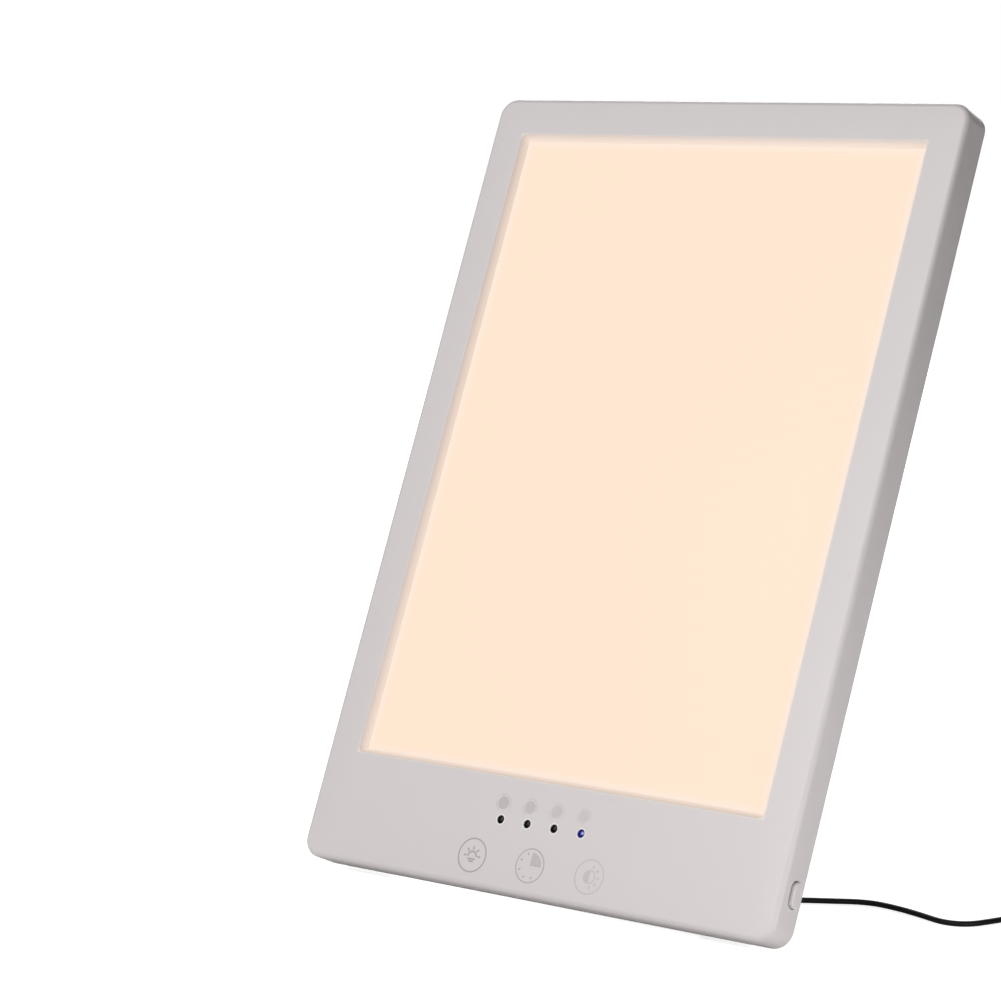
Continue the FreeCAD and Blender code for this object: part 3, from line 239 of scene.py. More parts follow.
class Paint(Nodes):
    """A material in the making."""

    def __init__(self, name: str) -> None:
        """Starts a material with its main shader and its output.

        Args:
            name: The material's name.
        """
        self.material = bpy.data.materials.new(name)
        self.material.use_nodes = True
        super().__init__(self.material.node_tree)
        self.tree.nodes.clear()
        self.output = self.tree.nodes.new("ShaderNodeOutputMaterial")
        self.shader = self.tree.nodes.new("ShaderNodeBsdfPrincipled")
        self.tree.links.new(self.shader.outputs["BSDF"], self.output.inputs["Surface"])

    def surface(self, values: dict[Label, Value]) -> None:
        """Fills the main shader's inputs."""
        self.feed(self.shader, values)

    def glow(self, light: Wire) -> None:
        """Lets the surface give this light."""
        self.surface({"Emission Color": light, "Emission Strength": 1.0})

    def place(self) -> Wire:
        """The point in the object's own coordinates."""
        return self.node("ShaderNodeTexCoord", result="Object")

    def along(self, frame: Matrix, axis: int) -> Wire:
        """How far a point lies along an axis of a frame, in millimetres.

        Args:
            frame: The frame.
            axis: The axis's number.

        Returns:
            The distance from the frame's origin.
        """
        direction = frame.to_3x3().col[axis]
        values = {0: self.place(), 1: tuple(direction / MM)}
        dotted = self.node("ShaderNodeVectorMath", values, "Value", operation="DOT_PRODUCT")
        return dotted - direction.dot(frame.translation) / MM

    def outside(self, frame: Matrix, low: Spot, high: Spot) -> Wire:
        """How far a point lies outside a rectangle of a frame, and below zero inside it.

        Args:
            frame: The frame.
            low: The rectangle's lower left corner in millimetres.
            high: Its upper right corner.

        Returns:
            The larger of the distances across and up.
        """
        middle = [(a + b) / 2 for a, b in zip(low, high)]
        reach = [(b - a) / 2 for a, b in zip(low, high)]
        apart = [abs(self.along(frame, axis) - middle[axis]) - reach[axis] for axis in (0, 1)]
        return apart[0].maths("MAXIMUM", *apart)

    def noise(
        self, size: float, detail: float = 2.0, rough: float = 0.5, where: Optional[Wire] = None
    ) -> Wire:
        """Smooth noise from 0 to 1.

        Args:
            size: The width of its patches, in metres.
            detail: How many finer layers it has.
            rough: How strong those are.
            where: The point that it is read at, if not the object's own.

        Returns:
            The noise.
        """
        values = {"Vector": where or self.place(), "Scale": 1 / size}
        return self.node("ShaderNodeTexNoise", {**values, "Detail": detail, "Roughness": rough}, "Fac")

    def blend(self, share: Value, low: Union[Colour, Wire], high: Union[Colour, Wire]) -> Wire:
        """A colour between two others, with this share of the second."""
        return self.node("ShaderNodeMix", {"Factor": share, 6: low, 7: high}, 2, data_type="RGBA")

    def shades(self, share: Wire, colour: Colour, low: float, high: float) -> Wire:
        """A colour that wanders between this times low and this times high."""
        return self.blend(share, tinted(colour, low), tinted(colour, high))

    def bump(self, height: Wire, depth: float) -> None:
        """Feeds the shader's normal from a height from 0 to 1, with its depth in metres."""
        values = {"Strength": 1.0, "Distance": depth, "Height": height}
        self.surface({"Normal": self.node("ShaderNodeBump", values, "Normal")})


@dataclass(frozen=True)
class Finish:
    """What every finish has, and how its material comes about.

    Attributes:
        name: The finish's name.
        colour: Its own colour.
    """

    name: str
    colour: Colour

    def coat(self, paint: Paint) -> None:
        """Adds the finish's own nodes to its new material."""
        raise NotImplementedError

    def build(self) -> bpy.types.Material:
        """Makes the material.

        Returns:
            The material.
        """
        paint = Paint(self.name)
        self.coat(paint)
        return paint.material


@dataclass(frozen=True)
class Plastic(Finish):
    """Moulded plastic with a fine spark-eroded grain and a faint unevenness.

    Attributes:
        roughness: How matt it is.
        grain: The grain's width in metres.
        grain_depth: The grain's depth in metres.
        mottle: How far the colour wanders, as a share.
        sheen_drift: How far the roughness wanders.
        cloud: The width of its broad unevenness in metres.
        cloud_share: How much of the colour's wandering is broad.
        bending: How strongly it bends light.
    """

    roughness: float = 0.42
    grain: float = 0.00045
    grain_depth: float = 0.00002
    mottle: float = 0.02
    sheen_drift: float = 0.08
    cloud: float = 0.035
    cloud_share: float = 0.8
    bending: float = 1.5

    def coat(self, paint: Paint) -> None:
        """Adds the grain and the unevenness.

        Args:
            paint: The material.
        """
        cloudy = paint.noise(self.cloud, 3.0)
        fine = paint.noise(self.grain, 1.0)
        tone = cloudy * self.cloud_share + fine * (1 - self.cloud_share)
        colour = paint.shades(tone, self.colour, 1 - self.mottle, 1 + self.mottle)
        roughness = self.roughness + cloudy.swing(self.sheen_drift) + fine.swing(self.sheen_drift)
        paint.surface({"Base Color": colour, "Roughness": roughness, "IOR": self.bending})
        paint.bump(fine, self.grain_depth)


@dataclass(frozen=True)
class Bezel(Plastic):
    """The same plastic round a lit window, with a painted glow on its bevel that stands in for the
    window's light falling on it.

    Attributes:
        panel: The panel's frame.
        bevel: How deep the bevel goes, in millimetres.
        light: The painted light that its foot takes up, in place of the window's light falling on it.
        fade: Where the glow starts and where it is full, as shares of the bevel's depth.
        fringe: How far from the window the glow is still full and where it is gone, in millimetres.
    """

    panel: Matrix = field(default_factory=Matrix)
    bevel: float = 2.5
    light: Colour = (0.36, 0.25, 0.16)
    fade: Span = (-0.7, 1.2)
    fringe: Span = (2.0, 2.6)

    def coat(self, paint: Paint) -> None:
        """Adds the painted glow to the plastic.

        Args:
            paint: The material.
        """
        super().coat(paint)
        sunk = (FACE - paint.along(self.panel, 2)) / self.bevel
        near = 1 - paint.outside(self.panel, *WINDOW).between(*self.fringe)
        # Painted light: emission on the bevel, fading away from the window, stands in for the window's
        # light falling on it.
        paint.glow(paint.blend(sunk.between(*self.fade) * near, UNLIT, self.light))


@dataclass(frozen=True)
class Rubber(Finish):
    """Soft flexible plastic or rubber, with fine scuffs.

    Attributes:
        roughness: How matt it is.
        scuff: How much lighter a scuff is.
        shine: How strongly it mirrors its surroundings.
        patch: The width of a scuffed patch in metres.
        worn: Where the patches' noise starts to count as scuffed and where it is fully so.
        worn_share: How much the patches count.
        grain_share: How much the grain counts.
        sheen_drift: How much more matt a scuff is.
        grain: The grain's width in metres.
        grain_depth: The grain's depth in metres.
    """

    roughness: float = 0.5
    scuff: float = 0.012
    shine: float = 0.4
    patch: float = 0.006
    worn: Span = (0.55, 0.8)
    worn_share: float = 0.5
    grain_share: float = 0.3
    sheen_drift: float = 0.2
    grain: float = 0.0003
    grain_depth: float = 0.00001

    def coat(self, paint: Paint) -> None:
        """Adds the scuffs and the grain.

        Args:
            paint: The material.
        """
        patches = paint.noise(self.patch, 4.0, 0.6)
        fine = paint.noise(self.grain, 1.0)
        scuffed = patches.between(*self.worn) * self.worn_share + fine * self.grain_share
        lighter = tuple(value + self.scuff for value in self.colour)
        colour = paint.blend(scuffed, self.colour, lighter)
        roughness = self.roughness + scuffed * self.sheen_drift
        paint.surface({"Base Color": colour, "Roughness": roughness, "Specular IOR Level": self.shine})
        paint.bump(fine, self.grain_depth)


@dataclass(frozen=True)
class Metal(Finish):
    """Plated, drawn or pressed metal.

    Attributes:
        roughness: How matt it is.
        drawn: The width of its drawing marks in metres.
        slim: A mark's width as a share of its length.
        mark_depth: The marks' depth in metres.
        cloud: The width of a tarnished patch in metres.
        tarnish: How dark and how bright the colour gets, as factors.
        mark_drift: How far the roughness wanders with the marks.
        cloud_drift: How far it wanders with the patches.
    """

    roughness: float = 0.28
    drawn: float = 0.0004
    slim: float = 0.08
    mark_depth: float = 0.000004
    cloud: float = 0.008
    tarnish: Span = (0.9, 1.04)
    mark_drift: float = 0.16
    cloud_drift: float = 0.1

    def coat(self, paint: Paint) -> None:
        """Adds the drawing marks and the tarnish.

        Args:
            paint: The material.
        """
        values = {"Vector": paint.place(), "Scale": (1.0, self.slim, 1.0)}
        stretched = paint.node("ShaderNodeMapping", values, vector_type="POINT")
        marks = paint.noise(self.drawn, where=stretched)
        patches = paint.noise(self.cloud, 3.0)
        colour = paint.shades(patches, self.colour, *self.tarnish)
        roughness = self.roughness + marks.swing(self.mark_drift) + patches.swing(self.cloud_drift)
        paint.surface({"Base Color": colour, "Metallic": 1.0, "Roughness": roughness})
        paint.bump(marks, self.mark_depth)


@dataclass(frozen=True)
class Glow(Finish):
    """Opal plastic that is lit from behind.

    Attributes:
        light: The light that it gives.
        edge: The light that it gives at the window's edge.
        drift: How far the light wanders, as a share.
        roughness: How matt it is.
        sheen_drift: How far the roughness wanders.
        cloud: The width of a brighter patch in metres.
        grain: The grain's width in metres.
        panel: The panel's frame, on a plate whose light changes at the window's edge.
        fade: Where that change starts and where it ends, in millimetres outside the window.
    """

    light: Colour
    edge: Colour = UNLIT
    drift: float = 0.01
    roughness: float = 0.5
    sheen_drift: float = 0.1
    cloud: float = 0.12
    grain: float = 0.0006
    panel: Optional[Matrix] = None
    fade: Span = (-4.0, 0.8)

    def coat(self, paint: Paint) -> None:
        """Adds the light and a faint grain.

        Args:
            paint: The material.
        """
        light = paint.shades(paint.noise(self.cloud, 1.0), self.light, 1 - self.drift, 1 + self.drift)
        if self.panel is not None:
            fading = paint.outside(self.panel, *WINDOW).between(*self.fade)
            light = paint.blend(fading, light, self.edge)
        roughness = self.roughness + paint.noise(self.grain, 1.0).swing(self.sheen_drift)
        paint.surface({"Base Color": self.colour, "Roughness": roughness})
        paint.glow(light)


@dataclass(frozen=True)
class Lens(Finish):
    """A small glossy lens, dark or lit, whose lit middle is partly its own light and partly a painted
    highlight.

    Attributes:
        light: The light of its rim.
        core_and_highlight: The light of its middle: its own brighter light together with a painted
            highlight.
        middle: Where that bright middle and its painted highlight lie, in metres.
        reach: How far the lit middle reaches, in metres.
        full: The share of that reach over which it is fully lit.
        roughness: How matt it is.
        sheen_drift: How much more matt its grain is.
        shine: How strongly it mirrors its surroundings.
        grain: The grain's width in metres.
    """

    light: Colour = UNLIT
    core_and_highlight: Colour = UNLIT
    middle: Place = (0.0, 0.0, 0.0)
    reach: float = 0.0015
    full: float = 0.15
    roughness: float = 0.1
    sheen_drift: float = 0.06
    shine: float = 0.09
    grain: float = 0.0008

    def coat(self, paint: Paint) -> None:
        """Adds the gloss, the light and, on a lit lens, the painted highlight.

        Args:
            paint: The material.
        """
        # The bright middle is the lens's own light plus a painted highlight, both given as emission.
        ends = {0: paint.place(), 1: self.middle}
        apart = paint.node("ShaderNodeVectorMath", ends, "Value", operation="DISTANCE")
        near = 1 - apart.between(self.full * self.reach, self.reach)
        roughness = self.roughness + paint.noise(self.grain) * self.sheen_drift
        paint.surface({"Base Color": self.colour, "Roughness": roughness})
        paint.surface({"Specular IOR Level": self.shine})
        paint.glow(paint.blend(near, self.light, self.core_and_highlight))


@dataclass(frozen=True)
class Ink(Finish):
    """Thin printed ink, a little uneven. The same finish also gives the painted highlights round the
    indicator holes.

    Attributes:
        roughness: How matt it is.
        sheen_drift: How far the roughness wanders.
        grain: The width of its unevenness in metres.
        mottle: How far the colour wanders, as a share.
    """

    roughness: float = 0.45
    sheen_drift: float = 0.1
    grain: float = 0.0008
    mottle: float = 0.03

    def coat(self, paint: Paint) -> None:
        """Adds the unevenness.

        Args:
            paint: The material.
        """
        uneven = paint.noise(self.grain)
        colour = paint.shades(uneven, self.colour, 1 - self.mottle, 1 + self.mottle)
        paint.surface({"Base Color": colour, "Roughness": self.roughness + uneven * self.sheen_drift})


@dataclass(frozen=True)
class Board(Finish):
    """A circuit board's lacquer, with its copper tracks showing through.

    Attributes:
        track: The colour of the lacquer over copper.
        roughness: How matt the lacquer is.
        track_drift: How much more matt it is over copper.
        cells: How many cells between tracks lie in a metre.
        outline: Where a cell ends and where its track is full, as shares of a cell.
        copper: How far the tracks stand up, in metres.
    """

    track: Colour
    roughness: float = 0.3
    track_drift: float = 0.08
    cells: float = 260.0
    outline: Span = (0.42, 0.46)
    copper: float = 0.00003

    def coat(self, paint: Paint) -> None:
        """Adds the tracks.

        Args:
            paint: The material.
        """
        values = {"Vector": paint.place(), "Scale": self.cells}
        cells = paint.node("ShaderNodeTexVoronoi", values, "Distance", distance="MANHATTAN", feature="F1")
        tracks = cells.between(*self.outline)
        colour = paint.blend(tracks, self.colour, self.track)
        paint.surface({"Base Color": colour, "Roughness": self.roughness + tracks * self.track_drift})
        paint.bump(tracks, self.copper)


@dataclass(frozen=True)
class Acrylic(Finish):
    """Clear acrylic with a fine dot print.

    Attributes:
        roughness: How matt it is between the dots.
        dot_drift: How much more matt a dot is.
        cells: How many dots lie in a metre.
        dot: How far a dot is full and where it ends, as shares of a cell.
        clear: How much light goes through.
        bending: How strongly it bends light.
    """

    roughness: float = 0.08
    dot_drift: float = 0.5
    cells: float = 500.0
    dot: Span = (0.2, 0.3)
    clear: float = 0.7
    bending: float = 1.49

    def coat(self, paint: Paint) -> None:
        """Adds the matt dots.

        Args:
            paint: The material.
        """
        values = {"Vector": paint.place(), "Scale": self.cells}
        dots = 1 - paint.node("ShaderNodeTexVoronoi", values, "Distance").between(*self.dot)
        paint.surface({"Base Color": self.colour, "Roughness": self.roughness + dots * self.dot_drift})
        paint.surface({"Transmission Weight": self.clear, "IOR": self.bending})


@dataclass(frozen=True)
class Gel(Finish):
    """Clear soft silicone, a little cloudy.

    Attributes:
        cover: How much it hides of what lies behind it.
        roughness: How matt it is.
        sheen_drift: How much more matt a cloudy patch is.
        shine: How strongly it mirrors its surroundings.
        cloud: The width of a cloudy patch in metres.
        mottle: How far the colour wanders, as a share.
    """

    cover: float = 0.12
    roughness: float = 0.35
    sheen_drift: float = 0.15
    shine: float = 0.2
    cloud: float = 0.002
    mottle: float = 0.06

    def coat(self, paint: Paint) -> None:
        """Adds the cloudiness.

        Args:
            paint: The material.
        """
        cloudy = paint.noise(self.cloud)
        colour = paint.shades(cloudy, self.colour, 1 - self.mottle, 1.0)
        paint.surface({"Base Color": colour, "Roughness": self.roughness + cloudy * self.sheen_drift})
        paint.surface({"Alpha": self.cover, "Specular IOR Level": self.shine})


@dataclass(frozen=True)
class Woven(Finish):
    """A narrow woven band, with the yarns that cross in it.

    Attributes:
        pitch: The width of a yarn in metres.
        shadow: How dark and how bright the colour gets between and on the yarns, as factors.
        wobble: How uneven the yarns are.
        roughness: How matt they are.
        weave_depth: How deep the weave is, in metres.
    """

    pitch: float = 0.0005
    shadow: Span = (0.6, 1.5)
    wobble: float = 0.4
    roughness: float = 0.85
    weave_depth: float = 0.00008

    def coat(self, paint: Paint) -> None:
        """Adds the weave.

        Args:
            paint: The material.
        """
        scale = WAVE_WIDTH / self.pitch
        values = {"Vector": paint.place(), "Scale": scale, "Distortion": self.wobble}
        across, along, upward = (
            paint.node("ShaderNodeTexWave", values, "Fac", wave_type="BANDS", bands_direction=direction)
            for direction in "XYZ"
        )
        weave = (across + along + upward) / 3
        colour = paint.shades(weave, self.colour, *self.shadow)
        paint.surface({"Base Color": colour, "Roughness": self.roughness})
        paint.bump(weave, self.weave_depth)


class Palette:
    """The finishes of the object, each built once."""

    def __init__(self) -> None:
        """Starts with nothing built."""
        self.built: dict[str, bpy.types.Material] = {}

    def __call__(self, finish: Finish) -> bpy.types.Material:
        """Gives a finish's material, and builds it the first time.

        Args:
            finish: The finish.

        Returns:
            Its material.
        """
        if finish.name not in self.built:
            self.built[finish.name] = finish.build()
        return self.built[finish.name]


HOUSING = Bezel("housing_satin", SHELL, grain=0.0004, grain_depth=0.000012)
COVER = Plastic("cover_textured", SHELL, roughness=0.55, grain=0.0007, grain_depth=0.00005, mottle=0.03)
BUTTON = Plastic("button_satin", (0.675, 0.635, 0.63), roughness=0.38, grain=0.0004, grain_depth=0.00001)
DIFFUSER = Glow("diffuser_lit", (0.14, 0.12, 0.1), light=(0.86, 0.635, 0.485), edge=(0.77, 0.65, 0.56))
DARK_LENS = Lens("indicator_dark", (0.004, 0.004, 0.005))
# The lit indicator: blue LED light with a bright middle that is also a painted highlight, set off-centre
# by Frame's glint.
LIT_LENS = Lens(
    "indicator_blue",
    (0.008, 0.008, 0.04),
    light=(0.005, 0.006, 0.13),
    core_and_highlight=(0.4, 0.43, 0.88),
    reach=0.00085,
)
JACK = Plastic("jack_black", (0.03, 0.03, 0.032), roughness=0.4, grain=0.0004, mottle=0.1)
COMPONENT = Plastic("component_black", (0.04, 0.04, 0.043), roughness=0.5, grain=0.0003, mottle=0.1)
PLUNGER = Plastic("plunger_black", (0.05, 0.05, 0.05), roughness=0.4)
PLUG = Rubber("plug_black", (0.022, 0.022, 0.024), roughness=0.45)
CORD = Rubber("cord_black", (0.007, 0.007, 0.008), scuff=0.008, shine=0.2)
FEET = Gel("feet_silicone", (0.95, 0.945, 0.94))
FOAM = Rubber("touch_foam", (0.09, 0.09, 0.09), roughness=0.9, scuff=0.03)
WIRES = Rubber("wire_red", (0.42, 0.03, 0.02), roughness=0.45, scuff=0.02)
SCREWS = Metal("screw_zinc", (0.62, 0.62, 0.63), roughness=0.3)
PIN = Metal("pin_steel", (0.66, 0.65, 0.64), roughness=0.25)
PLATE = Metal("plate_galvanised", (0.62, 0.63, 0.64), roughness=0.4)
NICKEL = Metal("nickel_plate", (0.72, 0.7, 0.67), roughness=0.2)
GOLD = Metal("contact_gold", (0.85, 0.62, 0.25), roughness=0.22)
BOARD = Board("board_green", (0.02, 0.16, 0.07), track=(0.05, 0.26, 0.11))
STRIP = Board("strip_white", (0.72, 0.72, 0.7), track=(0.8, 0.8, 0.78))
REFLECTOR = Plastic("reflector_white", (0.86, 0.86, 0.86), roughness=0.6)
GUIDE = Acrylic("light_guide_clear", (0.9, 0.93, 0.92))
STRIP_LED = Glow("strip_led_lit", (0.8, 0.7, 0.5), light=(1.0, 0.78, 0.6))
KEY_INKS = (
    Ink("ink_first_key", screen(172, 166, 165)),
    Ink("ink_second_key", screen(180, 174, 173)),
    Ink("ink_third_key", screen(197, 191, 190)),
)
CLOCK_INKS = (
    Ink("ink_first_clock", screen(191, 185, 184)),
    Ink("ink_second_clock", screen(196, 190, 189)),
    Ink("ink_third_clock", screen(201, 195, 194)),
    Ink("ink_fourth_clock", screen(204, 198, 197)),
)
# Painted highlight: a pale ring round each indicator hole that stands in for light on the hole's edge.
PAINTED_RIM_HIGHLIGHT = Ink("painted_rim_highlight", screen(232, 227, 227))
NUMBER = Ink("ink_number", screen(202, 196, 195))
TIE = Woven("tie_black", (0.03, 0.03, 0.032))


class Graph(Nodes):
    """A Geometry Nodes tree in the making, with named inputs for its sizes."""

    def __init__(self, name: str, inputs: Sequence[tuple[str, str]]) -> None:
        """Starts a tree.

        Args:
            name: The tree's name.
            inputs: The name and kind of each input after the geometry.
        """
        super().__init__(bpy.data.node_groups.new(name, "GeometryNodeTree"))
        face = self.tree.interface
        face.new_socket("Geometry", in_out="INPUT", socket_type="NodeSocketGeometry")
        self.keys: dict[str, str] = {}
        for label, kind in inputs:
            socket = face.new_socket(label, in_out="INPUT", socket_type=f"NodeSocket{kind}")
            self.keys[label] = socket.identifier
        face.new_socket("Geometry", in_out="OUTPUT", socket_type="NodeSocketGeometry")
        self.start = self.tree.nodes.new("NodeGroupInput")
        self.end = self.tree.nodes.new("NodeGroupOutput")

    @classmethod
    def repeating(cls, name: str, *sizes: str) -> "Graph":
        """Starts a tree whose inputs are a count, these sizes and a material."""
        floats = [(size, "Float") for size in sizes]
        return cls(name, [("Count", "Int"), *floats, ("Material", "Material")])

    def given(self, label: str) -> Wire:
        """What a named input holds."""
        return Wire(self, self.start.outputs[label])

    def block(self, *labels: str) -> Wire:
        """A block whose width, length and height are three named inputs."""
        sizes = {axis: self.given(label) for axis, label in zip("XYZ", labels)}
        return self.node("GeometryNodeMeshCube", {"Size": self.node("ShaderNodeCombineXYZ", sizes)})

    def turn(self, angle: Wire) -> Wire:
        """A turn about Z by an angle."""
        euler = self.node("ShaderNodeCombineXYZ", {"Z": angle})
        return self.node("FunctionNodeEulerToRotation", {0: euler})

    def close(self, geometry: Wire) -> "Graph":
        """Ends the tree in this geometry, and hands the tree back."""
        self.feed(self.end, {0: geometry})
        return self

    def set_out(self, points: Wire, shape: Wire, **more: Wire) -> "Graph":
        """Sets a shape on every point, makes the copies real, and ends the tree in them.

        Args:
            points: The points.
            shape: The shape.
            more: How each copy is turned or scaled, by the input's name.

        Returns:
            The tree.
        """
        copies = self.node("GeometryNodeInstanceOnPoints", {"Points": points, "Instance": shape, **more})
        real = self.node("GeometryNodeRealizeInstances", {"Geometry": copies})
        values = {"Geometry": real, "Material": self.given("Material")}
        return self.close(self.node("GeometryNodeSetMaterial", values))

    def attach(self, obj: bpy.types.Object, sizes: dict[str, Any]) -> None:
        """Puts the tree on an object.

        Args:
            obj: The object.
            sizes: What each named input holds.
        """
        modifier = obj.modifiers.new(self.tree.name, "NODES")
        modifier.node_group = self.tree
        for label, value in sizes.items():
            modifier[self.keys[label]] = value


def circle_graph() -> Graph:
    """A tree that sets bars round a circle, all pointing outwards, like the marks of a dial.

    Returns:
        The tree.
    """
    sizes = ("Radius", "Length", "Width", "Thickness", "Start", "Step")
    graph = Graph.repeating("marks_on_circle", *sizes)
    angle = graph.node("GeometryNodeInputIndex") * graph.given("Step") + graph.given("Start")
    way = {"X": angle.maths("COSINE", angle), "Y": angle.maths("SINE", angle)}
    values = {0: graph.node("ShaderNodeCombineXYZ", way), "Scale": graph.given("Radius")}
    place = graph.node("ShaderNodeVectorMath", values, operation="SCALE")
    points = graph.node("GeometryNodePoints", {"Count": graph.given("Count"), "Position": place})
    return graph.set_out(points, graph.block("Length", "Width", "Thickness"), Rotation=graph.turn(angle))


def row_graph() -> Graph:
    """A tree that sets equal blocks side by side along X, like ridges or contacts.

    Returns:
        The tree.
    """
    graph = Graph.repeating("blocks_in_row", "Spacing", "Width", "Length", "Height")
    step = graph.node("ShaderNodeCombineXYZ", {"X": graph.given("Spacing")})
    half = (graph.given("Count") - 1.0) * -0.5
    start = graph.node("ShaderNodeVectorMath", {0: step, "Scale": half}, operation="SCALE")
    values = {"Count": graph.given("Count"), "Start Location": start, "Offset": step}
    points = graph.node("GeometryNodeMeshLine", values, mode="OFFSET")
    return graph.set_out(points, graph.block("Width", "Length", "Height"))


def rib_graph() -> Graph:
    """A tree that sets round ribs along Z on a taper, like those of a strain relief.

    Returns:
        The tree.
    """
    graph = Graph.repeating("ribs_on_taper", "Spacing", "First radius", "Last radius", "Rib")
    step = graph.node("ShaderNodeCombineXYZ", {"Z": graph.given("Spacing")})
    values = {"Count": graph.given("Count"), "Offset": step}
    points = graph.node("GeometryNodeMeshLine", values, mode="OFFSET")
    circle = graph.node("GeometryNodeCurvePrimitiveCircle", {"Resolution": 32, "Radius": 1.0})
    first, last = graph.given("First radius"), graph.given("Last radius")
    outline = {"Resolution": 10, "Radius": graph.given("Rib") / first}
    section = graph.node("GeometryNodeCurvePrimitiveCircle", outline)
    ring = graph.node("GeometryNodeCurveToMesh", {"Curve": circle, "Profile Curve": section})
    index = graph.node("GeometryNodeInputIndex")
    values = {"Value": index, "From Max": graph.given("Count") - 1.0, "To Min": first, "To Max": last}
    return graph.set_out(points, ring, Scale=graph.node("ShaderNodeMapRange", values))


def screw_graph() -> Graph:
    """A tree that sets one screw on every point of its carrier, each turned at random.

    Returns:
        The tree.
    """
    graph = Graph("screws_on_points", [("Screw", "Object"), ("Seed", "Int"), ("Material", "Material")])
    screw = graph.node("GeometryNodeObjectInfo", {"Object": graph.given("Screw")}, "Geometry")
    values = {3: math.tau, "Seed": graph.given("Seed")}
    angle = graph.node("FunctionNodeRandomValue", values, 1, data_type="FLOAT")
    return graph.set_out(graph.given("Geometry"), screw, Rotation=graph.turn(angle))


def shading_graph() -> Graph:
    """A tree that joins a carried-over shell's triangles and shades it smooth up to an angle.

    Returns:
        The tree.
    """
    graph = Graph("smooth_shell", [("Reach", "Float"), ("Angle", "Float")])
    values = {"Geometry": graph.given("Geometry"), "Distance": graph.given("Reach")}
    merged = graph.node("GeometryNodeMergeByDistance", values)
    smooth = graph.node("GeometryNodeSetShadeSmooth", {0: merged, "Shade Smooth": True}, domain="FACE")
    bend = graph.node("GeometryNodeInputMeshEdgeAngle", result="Unsigned Angle")
    values = {0: bend, 1: graph.given("Angle")}
    sharp = graph.node("FunctionNodeCompare", values, data_type="FLOAT", operation="GREATER_THAN")
    values = {0: smooth, "Selection": sharp, "Shade Smooth": False}
    return graph.close(graph.node("GeometryNodeSetShadeSmooth", values, domain="EDGE"))


def link(name: str, data: bpy.types.ID) -> bpy.types.Object:
    """Puts a new object into the scene.

    Args:
        name: Its name.
        data: What it shows.

    Returns:
        The object.
    """
    obj = bpy.data.objects.new(name, data)
    bpy.context.scene.collection.objects.link(obj)
    return obj


def formed(name: str, shape: bmesh.types.BMesh, place: Optional[Matrix] = None) -> bpy.types.Object:
    """Turns a drawn shape into a piece.

    Args:
        name: The piece's name.
        shape: The shape, which is used up.
        place: The matrix that places it, if it isn't drawn in place.

    Returns:
        The piece.
    """
    mesh = bpy.data.meshes.new(name)
    shape.to_mesh(mesh)
    shape.free()
    if place is not None:
        mesh.transform(place)
    return link(name, mesh)


def baked(name: str, source: bpy.types.Object) -> bpy.types.Object:
    """Turns an object with live modifiers into a plain piece, and removes the object.

    Args:
        name: The new piece's name.
        source: The object, whose result is taken.

    Returns:
        The plain piece.
    """
    bpy.context.view_layer.update()
    graph = bpy.context.evaluated_depsgraph_get()
    mesh = bpy.data.meshes.new_from_object(source.evaluated_get(graph), depsgraph=graph)
    mesh.name = name
    bpy.data.objects.remove(source)
    return link(name, mesh)


class Stencil:
    """Flat printed shapes round one middle, drawn in millimetres and made one thin layer of ink. The
    painted rim highlights are drawn this way too.
    """

    def __init__(self) -> None:
        """Starts with nothing drawn."""
        self.shapes = bmesh.new()

    def arc(self, radius: float, start: float, sweep: float) -> list[bmesh.types.BMVert]:
        """New corners on a circle round the middle, or on a part of one.

        Args:
            radius: The circle's radius.
            start: The angle of the first corner, in degrees.
            sweep: How far they go round. A full turn leaves out the last one.

        Returns:
            The corners.
        """
        steps = max(ARC_LEAST, round(sweep / ARC_EDGE))
        count = steps if sweep >= 360 else steps + 1
        angles = [math.radians(start + sweep * number / steps) for number in range(count)]
        return [self.shapes.verts.new((radius * math.cos(a), radius * math.sin(a), 0.0)) for a in angles]

    def band(self, radius: float, width: float, start: float = 0.0, sweep: float = 360.0) -> "Stencil":
        """Draws a ring or a part of one.

        Args:
            radius: The radius of its middle line.
            width: The line's width.
            start: The angle where it starts, in degrees.
            sweep: How far it goes round.

        Returns:
            The stencil.
        """
        inner, outer = (self.arc(radius + side * width / 2, start, sweep) for side in (-1, 1))
        last = len(inner) if sweep >= 360 else len(inner) - 1
        for here in range(last):
            after = (here + 1) % len(inner)
            self.shapes.faces.new((inner[here], outer[here], outer[after], inner[after]))
        return self

    def sector(self, radius: float, start: float = 0.0, sweep: float = 360.0) -> "Stencil":
        """Draws a filled disc or a filled part of one.

        Args:
            radius: Its radius.
            start: The angle where it starts, in degrees.
            sweep: How far it goes round.

        Returns:
            The stencil.
        """
        rim = self.arc(radius, start, sweep)
        self.shapes.faces.new(rim if sweep >= 360 else [self.shapes.verts.new((0.0, 0.0, 0.0)), *rim])
        return self

    def bar(self, y: float, width: float, height: float) -> "Stencil":
        """Draws a bar above or below the middle.

        Args:
            y: How far above it the bar's own middle lies.
            width: Its width.
            height: Its height.

        Returns:
            The stencil.
        """
        places = [(a * width / 2, y + b * height / 2, 0.0) for a, b in CORNERS]
        self.shapes.faces.new([self.shapes.verts.new(place) for place in places])
        return self

    def print(self, name: str, place: Matrix, thickness: float) -> bpy.types.Object:
        """Gives the shapes their thickness and puts them in place.

        Args:
            name: The piece's name.
            place: The matrix that places them.
            thickness: The ink's thickness.

        Returns:
            The piece.
        """
        bmesh.ops.recalc_face_normals(self.shapes, faces=self.shapes.faces)
        for face in self.shapes.faces:
            if face.normal.z < 0:
                face.normal_flip()
        bmesh.ops.solidify(self.shapes, geom=self.shapes.faces[:], thickness=thickness)
        lowest = min(corner.co.z for corner in self.shapes.verts)
        bmesh.ops.translate(self.shapes, verts=self.shapes.verts, vec=(0.0, 0.0, -lowest))
        return formed(name, self.shapes, place)


